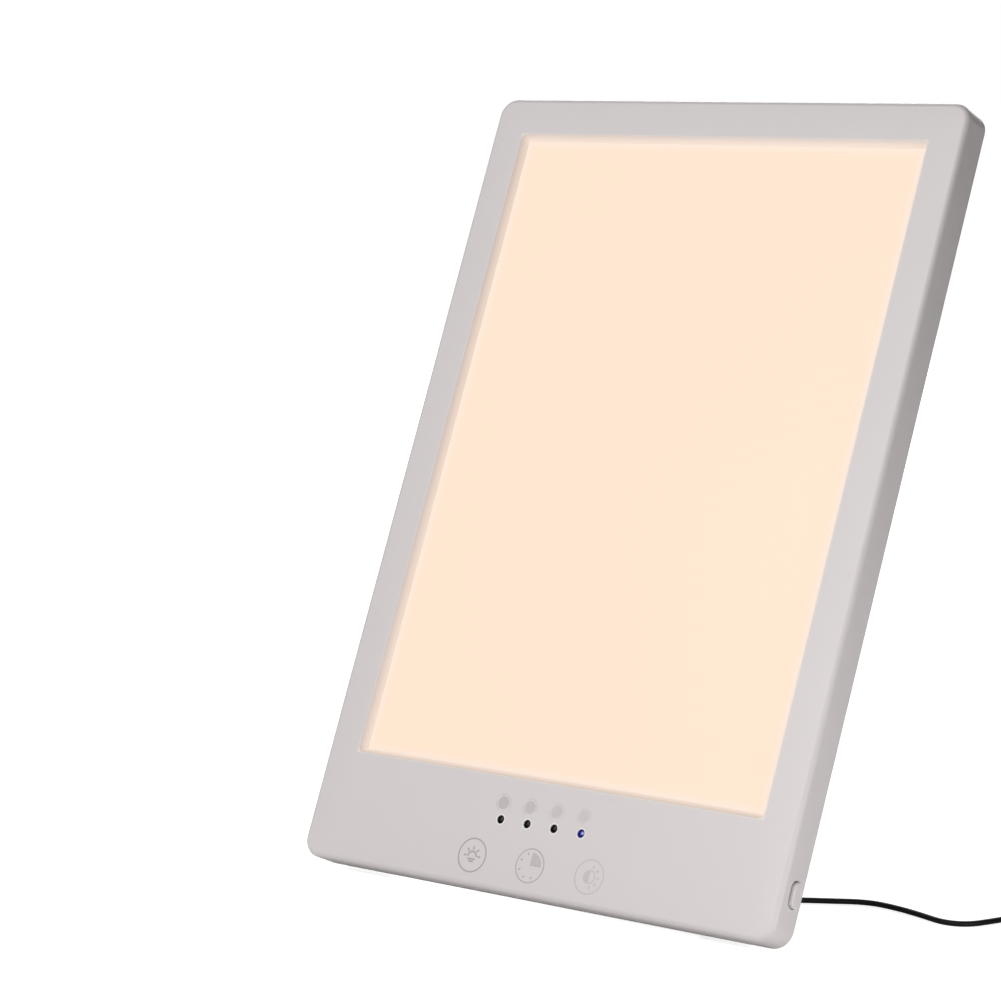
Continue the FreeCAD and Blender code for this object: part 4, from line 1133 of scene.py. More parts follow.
class Patterns:
    """What repeats on the object, each kind from its own tree."""

    def __init__(self, palette: Palette) -> None:
        """Builds the trees.

        Args:
            palette: The finishes.
        """
        self.palette = palette
        self.circle = circle_graph()
        self.row = row_graph()
        self.ribs = rib_graph()
        self.screws = screw_graph()

    def make(
        self,
        name: str,
        graph: Graph,
        sizes: dict[str, Any],
        finish: Finish,
        place: Matrix,
        carrier: Sequence[Place] = (),
    ) -> bpy.types.Object:
        """Makes a plain piece from a tree.

        Args:
            name: The piece's name.
            graph: The tree.
            sizes: What its named inputs hold.
            finish: The piece's finish.
            place: The matrix that places it.
            carrier: The points that the tree is given, if it needs any.

        Returns:
            The piece.
        """
        mesh = bpy.data.meshes.new(f"{name}_carrier")
        mesh.from_pydata(list(carrier), [], [])
        source = link(f"{name}_carrier", mesh)
        graph.attach(source, {**sizes, "Material": self.palette(finish)})
        piece = baked(name, source)
        piece.data.transform(place)
        return piece


@dataclass
class Frame:
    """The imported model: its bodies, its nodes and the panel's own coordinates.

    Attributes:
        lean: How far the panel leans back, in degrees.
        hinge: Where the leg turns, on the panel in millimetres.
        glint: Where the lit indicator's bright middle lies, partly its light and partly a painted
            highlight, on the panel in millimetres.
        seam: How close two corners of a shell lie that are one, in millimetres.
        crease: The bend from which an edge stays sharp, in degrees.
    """

    lean: float = 23.23
    hinge: Place = (0.0, 190.0, 2.05)
    glint: Place = (18.6, 25.5, 12.8)
    seam: float = 0.002
    crease: float = 32.0

    def __post_init__(self) -> None:
        """Loads the model, and finds the panel's frame from the leg's joint."""
        self.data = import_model()
        self.rest_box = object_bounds()
        self.palette = Palette()
        self.shell = shading_graph()
        self.patterns = Patterns(self.palette)
        joint = next(j for j in self.data["joints"] if j["name"] == "leg_fold")
        sine, cosine = math.sin(math.radians(self.lean)), math.cos(math.radians(self.lean))
        turn = Matrix(((1.0, 0.0, 0.0), (0.0, sine, -cosine), (0.0, cosine, sine)))
        origin = Vector(joint["pos_m"]) - turn @ (Vector(self.hinge) * MM)
        self.panel = Matrix.Translation(origin) @ turn.to_4x4()
        self.lit_lens = replace(LIT_LENS, middle=tuple(self.on_panel(*self.glint)))

    def on_panel(self, x: float, y: float, z: float) -> Vector:
        """The model's point for a point in the panel's coordinates, given in millimetres."""
        return self.panel @ (Vector((x, y, z)) * MM)

    def panel_at(self, x: float, y: float, z: float, flipped: bool = False) -> Matrix:
        """A frame on the panel for pieces that are drawn in millimetres.

        Args:
            x: Where its middle lies across the panel.
            y: Where its middle lies up the panel.
            z: How far in front of the back plane it lies.
            flipped: Whether its own Z points out of the back.

        Returns:
            The matrix that places such a piece.
        """
        turn = Matrix.Rotation(math.pi, 4, "Y") if flipped else Matrix.Identity(4)
        return self.panel @ Matrix.Translation(Vector((x, y, z)) * MM) @ turn @ Matrix.Scale(MM, 4)

    def dress(self, finish: Finish, *names: str) -> None:
        """Gives carried-over nodes their finish and smooth shading.

        Args:
            finish: The finish.
            names: The nodes.
        """
        for name in names:
            node = self.data["nodes"][name]
            node.data.materials.clear()
            node.data.materials.append(self.palette(finish))
            self.shell.attach(node, {"Reach": self.seam * MM, "Angle": math.radians(self.crease)})
            LOG.info("dressed %s in %s", name, finish.name)

    def ride(self, piece: bpy.types.Object, body: str, finish: Finish) -> bpy.types.Object:
        """Finishes a new piece, and lets it move with a body.

        Args:
            piece: The piece.
            body: The body's name.
            finish: Its finish.

        Returns:
            The piece.
        """
        piece.data.materials.clear()
        piece.data.materials.append(self.palette(finish))
        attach(piece, body)
        LOG.info("built %s on %s in %s", piece.name, body, finish.name)
        return piece

    def repeat(
        self, name: str, graph: Graph, sizes: dict[str, Any], finish: Finish, place: Matrix
    ) -> None:
        """Makes a piece from a tree, and lets it move with the panel.

        Args:
            name: The piece's name.
            graph: The tree.
            sizes: What its named inputs hold.
            finish: The piece's finish.
            place: The matrix that places it.
        """
        self.ride(self.patterns.make(name, graph, sizes, finish, place), "panel", finish)


@dataclass
class Lead:
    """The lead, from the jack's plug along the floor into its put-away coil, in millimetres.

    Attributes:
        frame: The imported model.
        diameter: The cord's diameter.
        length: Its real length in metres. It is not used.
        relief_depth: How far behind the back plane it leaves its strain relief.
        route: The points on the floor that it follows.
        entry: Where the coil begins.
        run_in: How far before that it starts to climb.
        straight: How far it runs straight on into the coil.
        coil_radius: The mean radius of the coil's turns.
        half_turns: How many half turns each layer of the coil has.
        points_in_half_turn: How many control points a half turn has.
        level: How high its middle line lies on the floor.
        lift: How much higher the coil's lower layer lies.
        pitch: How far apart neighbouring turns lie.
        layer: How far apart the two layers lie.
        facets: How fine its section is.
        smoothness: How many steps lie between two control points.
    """

    frame: Frame
    diameter: float = 2.0
    length: float = 1.024
    relief_depth: float = 30.0
    route: tuple[Spot, ...] = (
        (61.5, 0.5),
        (66.5, 5.6),
        (76.0, 11.5),
        (88.0, 19.2),
        (101.0, 18.0),
        (112.5, 14.9),
        (124.0, 10.8),
        (132.0, 14.0),
        (135.6, 22.5),
        (138.5, 31.0),
    )
    entry: Spot = (140.4, 48.0)
    run_in: float = 8.0
    straight: float = 2.0
    coil_radius: float = 12.0
    half_turns: int = 11
    points_in_half_turn: int = 8
    level: float = 1.1
    lift: float = 0.5
    pitch: float = 2.3546
    layer: float = 2.649
    facets: int = 3
    smoothness: int = 5

    def coil_points(self) -> list[Vector]:
        """The coil's control points: in along the lower layer and out along the upper one.

        Returns:
            The points.
        """
        step = math.pi / self.points_in_half_turn
        outward = 1 / math.cos(step / 2)
        start = Vector((self.entry[0], self.entry[1] + self.straight, self.level + self.lift))
        side = 1.0
        radius = self.coil_radius + self.pitch * self.half_turns / 4
        points: list[Vector] = []
        for number in range(2 * self.half_turns + 1):
            rise = self.layer if number == self.half_turns else 0.0
            middle = start + Vector((side * radius, 0.0, 0.0))
            for place in range(self.points_in_half_turn):
                angle = (place + 0.5) * step
                around = Vector((-math.cos(angle), math.sin(angle), 0.0)) * (side * radius * outward)
                points.append(middle + around + Vector((0.0, 0.0, rise * angle / math.pi)))
            start = start + Vector((side * 2 * radius, 0.0, rise))
            side = -side
            radius += -self.pitch / 2 if number < self.half_turns else self.pitch / 2
        points.append(start + Vector((0.0, -self.straight, 0.0)))
        return points

    def points(self) -> list[Vector]:
        """All control points of the cord's middle line.

        Returns:
            The points.
        """
        begin = self.frame.on_panel(*JACK_AT, -self.relief_depth) / MM
        ahead = self.frame.panel.to_3x3() @ Vector((0.0, 0.0, -1.0))
        floor = begin + ahead * ((begin.z - self.level) / -ahead.z)
        route = [Vector((x, y, self.level)) for x, y in self.route]
        x, y = self.entry
        climb = [Vector((x, y - back, self.level + self.lift)) for back in (self.run_in, 0.0)]
        return [begin, floor, *route, *climb, *self.coil_points()]

    def build(self) -> None:
        points = self.points()
        curve = bpy.data.curves.new("lead", "CURVE")
        curve.dimensions = "3D"
        curve.bevel_depth = self.diameter / 2 * MM
        curve.bevel_resolution = self.facets
        curve.resolution_u = self.smoothness
        curve.use_fill_caps = True
        spline = curve.splines.new("NURBS")
        spline.points.add(len(points) - 1)
        for target, point in zip(spline.points, points):
            target.co = (*(point * MM), 1.0)
        spline.order_u = 3
        spline.use_endpoint_u = True
        lead = self.frame.ride(link("lead", curve), "panel", CORD)
        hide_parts("cord_lead", "cord_coil")
        carried = ("plug_grip", "plug_strain_relief", "coil_tie", "usb_strain_relief")
        carried += ("usb_grip", "usb_shell", "usb_tongue_block", "plug_barrel")
        tuple(points[0] * MM)

    def dress(self) -> None:
        """Gives the plugs and the coil's tie their finishes."""
        self.frame.dress(PLUG, "plug_grip", "plug_strain_relief", "usb_strain_relief", "usb_grip")
        self.frame.dress(NICKEL, "plug_barrel", "usb_shell")
        self.frame.dress(JACK, "usb_tongue_block")
        self.frame.dress(TIE, "coil_tie")


@dataclass
class Panel:
    """The panel: housing, light stack, electronics and rear cover.

    Attributes:
        frame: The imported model.
    """

    frame: Frame

    def dress(self) -> None:
        """Gives the panel's nodes their finishes."""
        dress = self.frame.dress
        panel = self.frame.panel
        dress(replace(HOUSING, panel=panel), "front_housing")
        dress(COVER, "rear_cover")
        dress(replace(DIFFUSER, panel=panel), "diffuser_plate")
        dress(GUIDE, "light_guide_plate")
        dress(REFLECTOR, "reflector_sheet")
        dress(PLATE, "back_plate")
        dress(STRIP, "led_strip_left", "led_strip_right")
        dress(STRIP_LED, "strip_leds_left", "strip_leds_right")
        dress(BOARD, "control_board")
        dress(COMPONENT, "board_components", "power_switch")
        dress(FOAM, "touch_pads")
        dress(DARK_LENS, "indicator_leds")
        dress(self.frame.lit_lens, "indicator_led_lit")
        dress(JACK, "power_jack")
        dress(WIRES, "inner_wires")
        dress(SCREWS, "back_plate_screws", "board_screws")
        dress(PIN, "hinge_pin", "hinge_washers")
        dress(FEET, "foot_pads")


@dataclass
class Leg:
    """The folding leg with its foot.

    Attributes:
        frame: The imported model.
    """

    frame: Frame

    def dress(self) -> None:
        """Gives the leg's nodes their finishes."""
        self.frame.dress(COVER, "stand_leg")
        self.frame.dress(FEET, "stand_foot_pad")


@dataclass
class Button:
    """The power button in the side wall.

    Attributes:
        frame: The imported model.
    """

    frame: Frame

    def dress(self) -> None:
        """Gives the button's nodes their finishes."""
        self.frame.dress(BUTTON, "power_button")
        self.frame.dress(PLUNGER, "switch_plunger")


class TouchKey(Enum):
    """The touch keys, from left to right."""

    SUNRISE = 0
    TIMER = 1
    BRIGHTNESS = 2


@dataclass(frozen=True)
class Rays:
    """Equal bars round a circle, in millimetres and degrees.

    Attributes:
        count: How many there are.
        radius: How far from the circle's middle theirs lie.
        length: How long they are.
        start: The angle of the first one.
        step: The angle from one to the next.
    """

    count: int
    radius: float
    length: float
    start: float
    step: float


@dataclass
class Prints:
    """The printed keys and marks on the panel's face, in millimetres and degrees.

    Attributes:
        frame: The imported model.
        sunk: How deep the ink sits in the face.
        ink: How thick it is.
        line: The width of a printed line.
        symbol_line: The width of a line inside a ring.
        key_y: How high the keys' middles lie.
        key_x: Where they lie across.
        key_radius: The radius of a key's ring.
        first_ring: How much wider the first key's ring is printed, as a factor.
        sun_radius: The radius of the rising sun.
        sun_drop: How far it lies below its ring's middle.
        horizon: How high each line under it lies, and how long it is.
        sunrise_rays: The rays of the rising sun.
        quarter: The radius of the timer's filled quarter.
        timer_ticks: The ticks on the rest of its dial.
        number_at: Where the timer's number stands, from the dial's middle.
        number_height: The size of its type.
        number_weight: How much bolder than the type it is printed.
        half_sun: The radius of the filled half of the brightness key's sun.
        open_sun: The radius of its open half's line.
        open_line: The width of that line, as a share of the others'.
        brightness_rays: The rays of the open half.
        clock_shift: How far to the right of its indicator a clock mark lies.
        clock_rise: How far above it.
        clock_radius: The radius of a clock mark's disc.
        clock_gap: How far outside the disc its broken ring lies.
        clock_line: The width of that ring.
        clock_arcs: Where each arc of the ring starts, and how far it goes round.
    """

    frame: Frame
    sunk: float = 0.01
    ink: float = 0.03
    line: float = 0.48
    symbol_line: float = 0.66
    key_y: float = 11.0
    key_x: tuple[float, float, float] = (-26.45, -0.25, 26.0)
    key_radius: float = 6.05
    first_ring: float = 1.2
    sun_radius: float = 1.85
    sun_drop: float = 0.5
    horizon: tuple[Spot, Spot] = ((-0.9, 3.4), (-1.75, 2.1))
    sunrise_rays: Rays = Rays(5, 3.15, 1.3, 4.0, 43.0)
    quarter: float = 4.8
    timer_ticks: Rays = Rays(5, 4.5, 0.9, 113.0, 45.0)
    number_at: Spot = (2.05, 1.2)
    number_height: float = 2.5
    number_weight: float = 0.02
    half_sun: float = 2.5
    open_sun: float = 2.3
    open_line: float = 0.65
    brightness_rays: Rays = Rays(5, 3.8, 1.2, -75.0, 37.5)
    clock_shift: float = -0.5
    clock_rise: float = 6.0
    clock_radius: float = 2.35
    clock_gap: float = 0.7
    clock_line: float = 0.25
    clock_arcs: tuple[Span, ...] = ((-25.0, 150.0), (170.0, 70.0))

    def key(self, key: TouchKey) -> tuple[float, float, Ink]:
        """Where a key's middle lies, across and up, and the key's ink."""
        return self.key_x[key.value], self.key_y, KEY_INKS[key.value]

    def on_face(self, x: float, y: float, rise: float = 0.0) -> Matrix:
        """The matrix that places a print with its middle at a point of the face."""
        return self.frame.panel_at(x, y, FACE - self.sunk + rise)

    def stamp(self, name: str, art: Stencil, x: float, y: float, ink: Ink) -> None:
        """Prints drawn shapes round a point of the face."""
        self.frame.ride(art.print(name, self.on_face(x, y), self.ink), "panel", ink)

    def marks(self, name: str, rays: Rays, x: float, y: float, ink: Ink) -> None:
        """Prints bars round a circle.

        Args:
            name: The piece's name.
            rays: The bars.
            x: Where the circle's middle lies across.
            y: How high it lies.
            ink: The ink.
        """
        sizes = {
            "Count": rays.count,
            "Radius": rays.radius,
            "Length": rays.length,
            "Width": self.symbol_line,
            "Thickness": self.ink,
            "Start": math.radians(rays.start),
            "Step": math.radians(rays.step),
        }
        self.frame.repeat(name, self.frame.patterns.circle, sizes, ink, self.on_face(x, y, self.ink / 2))

    def sunrise_key(self) -> None:
        """The first key: a rising sun over two short lines."""
        x, y, ink = self.key(TouchKey.SUNRISE)
        ring = Stencil().band(self.key_radius, self.line * self.first_ring)
        self.stamp("print_sunrise_ring", ring, x, y, ink)
        sun = Stencil().band(self.sun_radius, self.symbol_line, 0.0, 180.0)
        for height, length in self.horizon:
            sun.bar(height, length, self.symbol_line)
        self.stamp("print_sunrise", sun, x, y - self.sun_drop, ink)
        self.marks("print_sunrise_rays", self.sunrise_rays, x, y - self.sun_drop, ink)

    def timer_key(self) -> None:
        """The second key: a dial whose first quarter is filled, with its number of minutes."""
        x, y, ink = self.key(TouchKey.TIMER)
        self.stamp("print_timer", Stencil().band(self.key_radius, self.line), x, y, ink)
        quarter = Stencil().sector(self.quarter, 0.0, 90.0)
        self.stamp("print_timer_quarter", quarter, x, y, CLOCK_INKS[0])
        self.marks("print_timer_ticks", self.timer_ticks, x, y, ink)
        self.number("15", x + self.number_at[0], y + self.number_at[1])

    def number(self, text: str, x: float, y: float) -> None:
        """Prints a number.

        Args:
            text: Its digits.
            x: Where its middle lies across.
            y: How high its lower edge lies.
        """
        curve = bpy.data.curves.new("number", "FONT")
        curve.body = text
        curve.size = self.number_height
        curve.align_x = "CENTER"
        curve.extrude = self.ink / 2
        curve.offset = self.number_weight
        curve.resolution_u = 3
        piece = baked("print_number", link("number", curve))
        piece.data.transform(self.on_face(x, y, self.ink + self.sunk / 2))
        self.frame.ride(piece, "panel", NUMBER)

    def brightness_key(self) -> None:
        """The third key: a sun whose left half is filled."""
        x, y, ink = self.key(TouchKey.BRIGHTNESS)
        art = Stencil().band(self.key_radius, self.line).sector(self.half_sun, 90.0, 180.0)
        art.band(self.open_sun, self.symbol_line * self.open_line, -90.0, 180.0)
        self.stamp("print_brightness", art, x, y, ink)
        self.marks("print_brightness_rays", self.brightness_rays, x, y, ink)

    def clock_marks(self) -> None:
        """The small clock mark over each indicator."""
        height = INDICATOR_Y + self.clock_rise
        for number, (x, ink) in enumerate(zip(INDICATOR_X, CLOCK_INKS), start=1):
            art = Stencil().sector(self.clock_radius)
            for start, sweep in self.clock_arcs:
                art.band(self.clock_radius + self.clock_gap, self.clock_line, start, sweep)
            self.stamp(f"print_clock_{number}", art, x + self.clock_shift, height, ink)

    def build(self) -> None:
        """Makes every print."""
        self.sunrise_key()
        self.timer_key()
        self.brightness_key()
        self.clock_marks()


@dataclass
class Indicators:
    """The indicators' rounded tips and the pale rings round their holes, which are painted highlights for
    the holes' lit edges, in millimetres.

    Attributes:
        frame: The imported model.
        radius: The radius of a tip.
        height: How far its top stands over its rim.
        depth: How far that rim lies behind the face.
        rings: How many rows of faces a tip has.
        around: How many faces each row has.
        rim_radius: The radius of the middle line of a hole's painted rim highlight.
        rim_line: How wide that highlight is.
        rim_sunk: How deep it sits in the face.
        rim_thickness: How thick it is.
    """

    frame: Frame
    radius: float = 1.52
    height: float = 0.36
    depth: float = 0.4
    rings: int = 5
    around: int = 28
    rim_radius: float = 1.83
    rim_line: float = 0.5
    rim_sunk: float = 0.01
    rim_thickness: float = 0.03

    def tip(self, name: str, place: Matrix) -> bpy.types.Object:
        """Makes a rounded tip.

        Args:
            name: The piece's name.
            place: The matrix that places it.

        Returns:
            The piece.
        """
        shape = bmesh.new()
        top = shape.verts.new((0.0, 0.0, self.height))
        turns = [math.tau * step / self.around for step in range(self.around)]
        rows = []
        for ring in range(1, self.rings + 1):
            tilt = ring / self.rings * math.pi / 2
            out, up = self.radius * math.sin(tilt), self.height * math.cos(tilt)
            rows.append([shape.verts.new((out * math.cos(a), out * math.sin(a), up)) for a in turns])
        for here in range(self.around):
            after = (here + 1) % self.around
            shape.faces.new((top, rows[0][here], rows[0][after]))
            for upper, lower in zip(rows, rows[1:]):
                shape.faces.new((upper[here], lower[here], lower[after], upper[after]))
        shape.faces.new(rows[-1][::-1])
        for face in shape.faces:
            face.smooth = len(face.verts) < self.around
        return formed(name, shape, place)

    def build(self) -> None:
        """Makes the tips, of which the last one is lit, and then the painted highlights on the holes'
        rims.
        """
        for number, x in enumerate(INDICATOR_X, start=1):
            place = self.frame.panel_at(x, INDICATOR_Y, FACE - self.depth)
            lens = self.frame.lit_lens if number == len(INDICATOR_X) else DARK_LENS
            self.frame.ride(self.tip(f"indicator_dome_{number}", place), "panel", lens)
        # Painted highlight: each rim is a pale flat ring standing in for light on the hole's edge.
        for number, x in enumerate(INDICATOR_X, start=1):
            rim = Stencil().band(self.rim_radius, self.rim_line)
            place = self.frame.panel_at(x, INDICATOR_Y, FACE - self.rim_sunk)
            self.frame.ride(rim.print(f"indicator_rim_{number}", place, self.rim_thickness), "panel", PAINTED_RIM_HIGHLIGHT)


@dataclass
class CaseScrews:
    """The screws of the rear cover, in millimetres.

    Attributes:
        frame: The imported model.
        x: How far from the panel's middle line they stand.
        low: How high the lowest pair stands.
        high: How high the highest pair stands.
        shares: Where each pair stands between those.
        head: The diameter of a head.
        head_back: How far in front of the back plane a head starts.
        head_front: How far in front of it the head ends.
        head_taper: How much narrower its outer end is, as a factor.
        shank: The diameter of a shank.
        shank_start: How far under the head's outer face it starts.
        reach: How far in front of the back plane it ends.
        cross_top: How long and how wide half of a slot is at its mouth.
        cross_bottom: The same at its bottom.
        cross_over: How far the cutter stands over the head.
        cross_depth: How deep it goes.
        facets: How many faces go round a screw.
        seed: The seed of the screws' turns.
    """

    frame: Frame
    x: float = 99.6
    low: float = 9.0
    high: float = 291.0
    shares: tuple[float, ...] = (0.0, 0.335, 0.67, 1.0)
    head: float = 4.4
    head_back: float = 0.1
    head_front: float = 1.2
    head_taper: float = 0.93
    shank: float = 2.2
    shank_start: float = 0.5
    reach: float = 6.2
    cross_top: Spot = (1.35, 0.32)
    cross_bottom: Spot = (0.7, 0.2)
    cross_over: float = 0.4
    cross_depth: float = 0.75
    facets: int = 32
    seed: int = 7

    def solid(
        self, name: str, radius: float, low: float, high: float, top: float = 1.0
    ) -> bpy.types.Object:
        """A round bar along Z, narrowed towards its far end.

        Args:
            name: Its name.
            radius: Its radius.
            low: Where it starts.
            high: Where it ends.
            top: The share of the radius at its far end.

        Returns:
            The bar.
        """
        shape = bmesh.new()
        sizes = {"radius1": radius, "radius2": radius * top, "depth": high - low}
        place = Matrix.Translation((0.0, 0.0, (low + high) / 2))
        bmesh.ops.create_cone(shape, cap_ends=True, segments=self.facets, matrix=place, **sizes)
        return formed(name, shape)

    def recess(self) -> bpy.types.Object:
        """The cross that is cut into a head, narrower at its bottom.

        Returns:
            The cutter.
        """
        shape = bmesh.new()
        for turn in (0.0, math.pi / 2):
            spin = Matrix.Rotation(turn, 4, "Z")
            upper, lower = (
                [shape.verts.new(spin @ Vector((a * long, b * wide, height))) for a, b in CORNERS]
                for (long, wide), height in (
                    (self.cross_top, self.cross_over),
                    (self.cross_bottom, -self.cross_depth),
                )
            )
            shape.faces.new(upper)
            shape.faces.new(lower[::-1])
            for here in range(4):
                after = (here + 1) % 4
                shape.faces.new((upper[here], lower[here], lower[after], upper[after]))
        bmesh.ops.recalc_face_normals(shape, faces=shape.faces)
        return formed("cross", shape)

    def screw(self) -> bpy.types.Object:
        """One screw along Z with its head's outer face at zero, and its shank below.

        Returns:
            The screw.
        """
        depth = self.head_front - self.head_back
        head = self.solid("screw_head", self.head / 2, -depth, 0.0, self.head_taper)
        shank = self.solid("screw_shank", self.shank / 2, self.head_back - self.reach, -self.shank_start)
        cross = self.recess()
        for other, operation in ((shank, "UNION"), (cross, "DIFFERENCE")):
            step = head.modifiers.new(operation.lower(), "BOOLEAN")
            step.operation = operation
            step.object = other
            step.solver = "EXACT"
            step.use_self = operation == "DIFFERENCE"
        screw = baked("screw", head)
        for other in (shank, cross):
            bpy.data.objects.remove(other)
        return screw

    def build(self) -> None:
        """Sets the screws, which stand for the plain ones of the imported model."""
        middle = (self.low + self.high) / 2
        heights = [self.low + (self.high - self.low) * share - middle for share in self.shares]
        points = [(side * self.x, height, 0.0) for side in (-1, 1) for height in heights]
        screw = self.screw()
        place = self.frame.panel_at(0.0, middle, self.head_back, flipped=True)
        patterns = self.frame.patterns
        sizes = {"Screw": screw, "Seed": self.seed}
        piece = patterns.make("case_screw_set", patterns.screws, sizes, SCREWS, place, points)
        bpy.data.objects.remove(screw)
        self.frame.ride(piece, "panel", SCREWS)
        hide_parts("case_screws")


@dataclass
class PlugDetails:
    """The ribs, ridges and contacts on the lead's two plugs, in millimetres.

    Attributes:
        frame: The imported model.
        relief_ribs: How many ribs each strain relief has.
        rib: The radius of a rib's section.
        rib_spacing: How far apart the ribs of a relief are.
        relief_depth: How far behind the back plane the first plug's ribs start.
        grip_depth: How far behind it the ridges of its grip start.
        usb_end: Where the lead enters the far plug's strain relief.
        usb_ribs: How far ahead of that the relief's ribs start.
        usb_relief: How long the relief is.
        usb_grip: How long its grip is.
        usb_shell: How long its shell is.
        usb_height: How high the shell is.
        ridge_bite: How deep a ridge sits in the far plug's grip.
        contact_rise: How far above the plug's middle its contacts lie.
        window_shift: How far in front of the shell's middle its windows lie.
    """

    frame: Frame
    relief_ribs: int = 6
    rib: float = 0.3
    rib_spacing: float = 1.9
    relief_depth: float = 17.8
    grip_depth: float = 8.4
    usb_end: Place = (179.701, 48.0, 4.249)
    usb_ribs: float = 2.6
    usb_relief: float = 15.0
    usb_grip: float = 24.0
    usb_shell: float = 12.0
    usb_height: float = 4.5
    ridge_bite: float = 0.05
    contact_rise: float = 0.02
    window_shift: float = 1.2

    def usb_at(self, ahead: float, rise: float = 0.0) -> Matrix:
        """A frame on the far plug: X across, Y along it and Z up.

        Args:
            ahead: How far ahead of the lead's end it lies.
            rise: How far above the plug's middle.

        Returns:
            The matrix that places a piece drawn in millimetres.
        """
        x, y, z = self.usb_end
        turn = Matrix.Rotation(math.pi, 4, "Z")
        return Matrix.Translation(Vector((x, y - ahead, z + rise)) * MM) @ turn @ Matrix.Scale(MM, 4)

    def ribs(self) -> None:
        """The ribs of both strain reliefs, and the ridges of the first plug's grip."""
        graph, repeat, at = self.frame.patterns.ribs, self.frame.repeat, self.frame.panel_at
        sizes = {"Count": self.relief_ribs, "Spacing": self.rib_spacing, "Rib": self.rib}
        taper = {"First radius": 2.55, "Last radius": 1.72}
        place = at(*JACK_AT, -self.relief_depth, flipped=True)
        repeat("plug_relief_ribs", graph, {**sizes, **taper}, PLUG, place)
        ridges = {"Count": 5, "Spacing": 1.5, "Rib": self.rib, "First radius": 4.15, "Last radius": 4.07}
        repeat("plug_grip_ridges", graph, ridges, PLUG, at(*JACK_AT, -self.grip_depth, flipped=True))
        taper = {"First radius": 1.5, "Last radius": 2.55}
        along = self.usb_at(self.usb_ribs) @ Matrix.Rotation(-math.pi / 2, 4, "X")
        repeat("usb_relief_ribs", graph, {**sizes, **taper}, PLUG, along)

    def usb(self) -> None:
        """The ridges of the far plug's grip, its contacts and the windows of its shell."""
        graph, repeat = self.frame.patterns.row, self.frame.repeat
        quarter = Matrix.Rotation(math.pi / 2, 4, "Z")
        grip = self.usb_relief + self.usb_grip / 2
        shell = self.usb_relief + self.usb_grip + self.usb_shell / 2
        ridges = {"Count": 6, "Spacing": 1.5, "Width": 0.6, "Length": 9.0, "Height": 0.3}
        top = self.usb_at(grip, self.usb_end[2] - self.ridge_bite)
        repeat("usb_grip_ridges", graph, ridges, PLUG, top @ quarter)
        contacts = {"Count": 4, "Spacing": 2.4, "Width": 1.1, "Length": 8.0, "Height": 0.1}
        repeat("usb_contacts", graph, contacts, GOLD, self.usb_at(shell, self.contact_rise))
        windows = {"Count": 2, "Spacing": 5.2, "Width": 2.3, "Length": 2.3, "Height": 0.03}
        for name, rise in (("top", self.usb_height / 2), ("under", -self.usb_height / 2)):
            place = self.usb_at(shell + self.window_shift, rise)
            repeat(f"usb_windows_{name}", graph, windows, JACK, place)

    def build(self) -> None:
        """Makes all of them."""
        self.ribs()
        self.usb()


@dataclass(frozen=True)
class Softbox:
    """A soft lamp.

    Attributes:
        name: The lamp's name.
        place: Where it stands, in metres.
        target: What it points at.
        width: Its width.
        height: Its height.
        power: Its power in watts.
        colour: Its colour.
    """

    name: str
    place: Place
    target: Place
    width: float
    height: float
    power: float
    colour: Colour = WHITE

    def build(self) -> None:
        """Puts the lamp into the scene."""
        lamp = bpy.data.lights.new(self.name, "AREA")
        lamp.shape = "RECTANGLE"
        lamp.size = self.width
        lamp.size_y = self.height
        lamp.energy = self.power
        lamp.color = self.colour
        obj = link(self.name, lamp)
        obj.location = self.place
        ahead = Vector(self.target) - Vector(self.place)
        obj.rotation_euler = ahead.to_track_quat("-Z", "Y").to_euler()
        obj.visible_camera = False
        LOG.info("lamp %s at %.1f W", self.name, self.power)


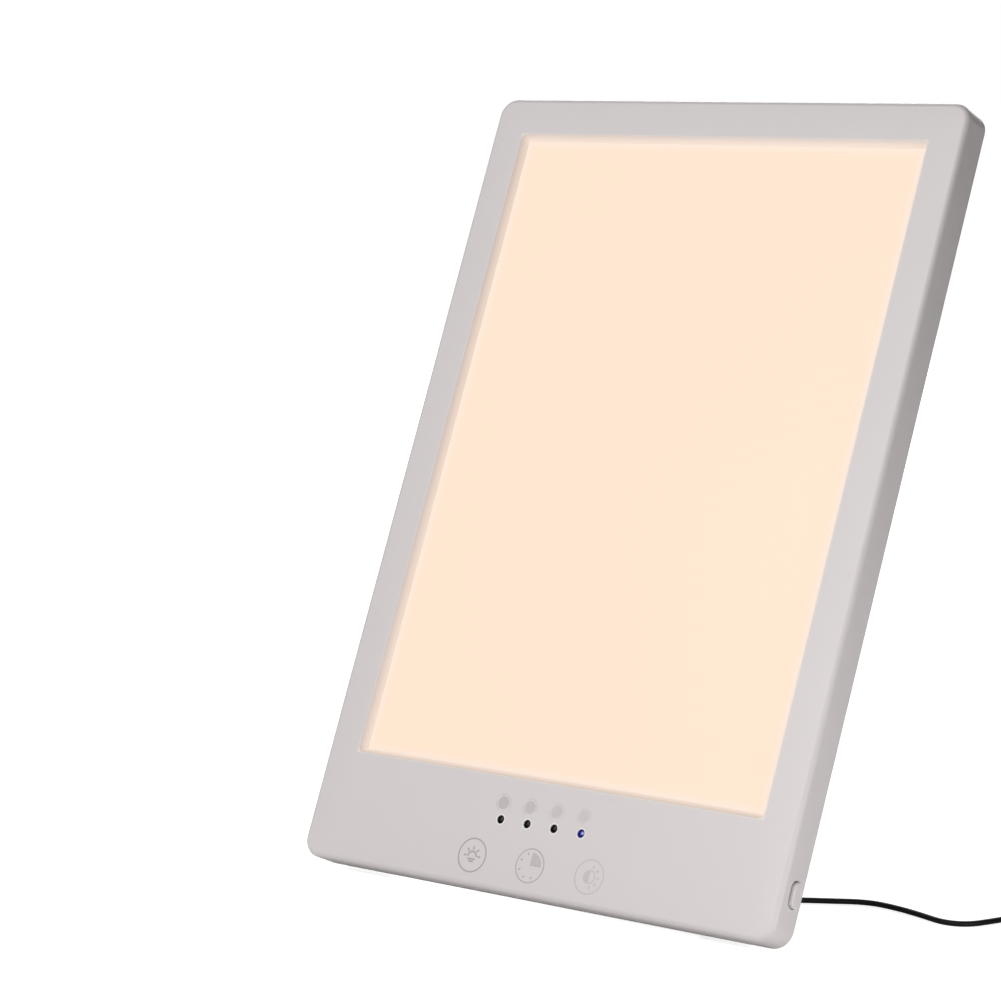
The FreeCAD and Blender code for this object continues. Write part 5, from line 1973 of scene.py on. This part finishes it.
@dataclass
class Studio:
    """The camera, the floor, the lamps and the white surroundings.

    Attributes:
        place: The camera's place in metres.
        turn: The camera's turn in degrees.
        lens: Its focal length in millimetres.
        sensor: The width of its sensor in millimetres.
        sight: How far it sees, in metres.
        sky: The strength of the even light from all round.
        floor_size: The floor's width in metres.
        floor_near: The floor's own grey near the object.
        floor_far: The same further away.
        grey_fade: Where the one starts to give way to the other and where it ends, in metres.
        white_near: How much the floor adds, near the object, to what the camera sees of it.
        white_far: The same further away.
        white_fade: Where that starts to change and where it ends, in metres.
        lamps: The lamps.
    """

    place: Place = (0.735335, -0.980622, 0.294847)
    turn: Place = (82.88, 0.0, 39.18)
    lens: float = 123.57
    sensor: float = 36.0
    sight: float = 200.0
    sky: float = 0.12
    floor_size: float = 40.0
    floor_near: float = 0.84
    floor_far: float = 0.55
    grey_fade: Span = (0.12, 0.5)
    white_near: float = 0.8
    white_far: float = 1.02
    white_fade: Span = (0.25, 0.9)
    lamps: tuple[Softbox, ...] = (
        Softbox("key", (-0.7, -1.7, 1.3), (0.0, 0.0, 0.15), 1.6, 1.2, 34.4),
        Softbox("rear", (-0.9, 1.9, 1.1), (0.0, 0.05, 0.12), 1.6, 1.2, 28.0),
        Softbox("low_right", (0.42, -0.15, 0.02), (0.1, -0.05, 0.03), 0.24, 0.08, 0.86),
    )

    def camera(self) -> None:
        """Makes the camera at the photograph's viewing angle."""
        data = bpy.data.cameras.new("camera")
        data.lens = self.lens
        data.sensor_fit = "HORIZONTAL"
        data.sensor_width = self.sensor
        data.clip_end = self.sight
        camera = link("camera", data)
        camera.location = self.place
        camera.rotation_euler = tuple(math.radians(angle) for angle in self.turn)
        bpy.context.scene.camera = camera

    def floor(self) -> None:
        """Makes the floor, which looks white and still takes the object's shadow."""
        mesh = bpy.data.meshes.new("floor")
        half = self.floor_size / 2
        mesh.from_pydata([(a * half, b * half, 0.0) for a, b in CORNERS], [], [(0, 1, 2, 3)])
        floor = link("floor", mesh)
        paint = Paint("floor_white")
        paint.tree.nodes.remove(paint.shader)
        away = paint.node("ShaderNodeVectorMath", {0: paint.place()}, "Value", operation="LENGTH")
        near, far = ((tone,) * 3 for tone in (self.floor_near, self.floor_far))
        grey = paint.blend(away.between(*self.grey_fade), near, far)
        plain = paint.node("ShaderNodeBsdfDiffuse", {"Color": grey})
        strength = self.white_near + away.between(*self.white_fade) * (self.white_far - self.white_near)
        glow = paint.node("ShaderNodeEmission", {"Color": WHITE, "Strength": strength})
        both = paint.node("ShaderNodeAddShader", {0: plain, 1: glow})
        seen = paint.node("ShaderNodeLightPath", result="Is Camera Ray")
        mixed = paint.node("ShaderNodeMixShader", {0: seen, 1: plain, 2: both})
        paint.feed(paint.output, {"Surface": mixed})
        mesh.materials.append(paint.material)
        floor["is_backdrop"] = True

    def world(self) -> None:
        """Makes surroundings that look white, and light the object evenly."""
        world = bpy.data.worlds.new("surroundings")
        bpy.context.scene.world = world
        world.use_nodes = True
        nodes = Nodes(world.node_tree)
        nodes.tree.nodes.clear()
        even, white = (
            nodes.node("ShaderNodeBackground", {"Color": WHITE, "Strength": strength})
            for strength in (self.sky, 1.0)
        )
        seen, through = (
            nodes.node("ShaderNodeLightPath", result=result)
            for result in ("Is Camera Ray", "Is Transmission Ray")
        )
        values = {0: seen.maths("MAXIMUM", seen, through), 1: even, 2: white}
        mixed = nodes.node("ShaderNodeMixShader", values)
        nodes.feed(nodes.tree.nodes.new("ShaderNodeOutputWorld"), {"Surface": mixed})

    def build(self) -> None:
        """Sets up everything round the object."""
        self.camera()
        self.floor()
        self.world()
        for lamp in self.lamps:
            lamp.build()
        bpy.context.scene.view_settings.view_transform = "Standard"


def main() -> None:
    """Builds the lamp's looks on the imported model."""
    logging.basicConfig(level=logging.INFO, format="%(name)s: %(message)s")
    frame = Frame()
    Studio().build()
    lead = Lead(frame)
    lead.build()
    lead.dress()
    for part in (Panel(frame), Leg(frame), Button(frame)):
        part.dress()
    for details in (Prints(frame), Indicators(frame), CaseScrews(frame), PlugDetails(frame)):
        details.build()


if __name__ == "__main__":
    main()
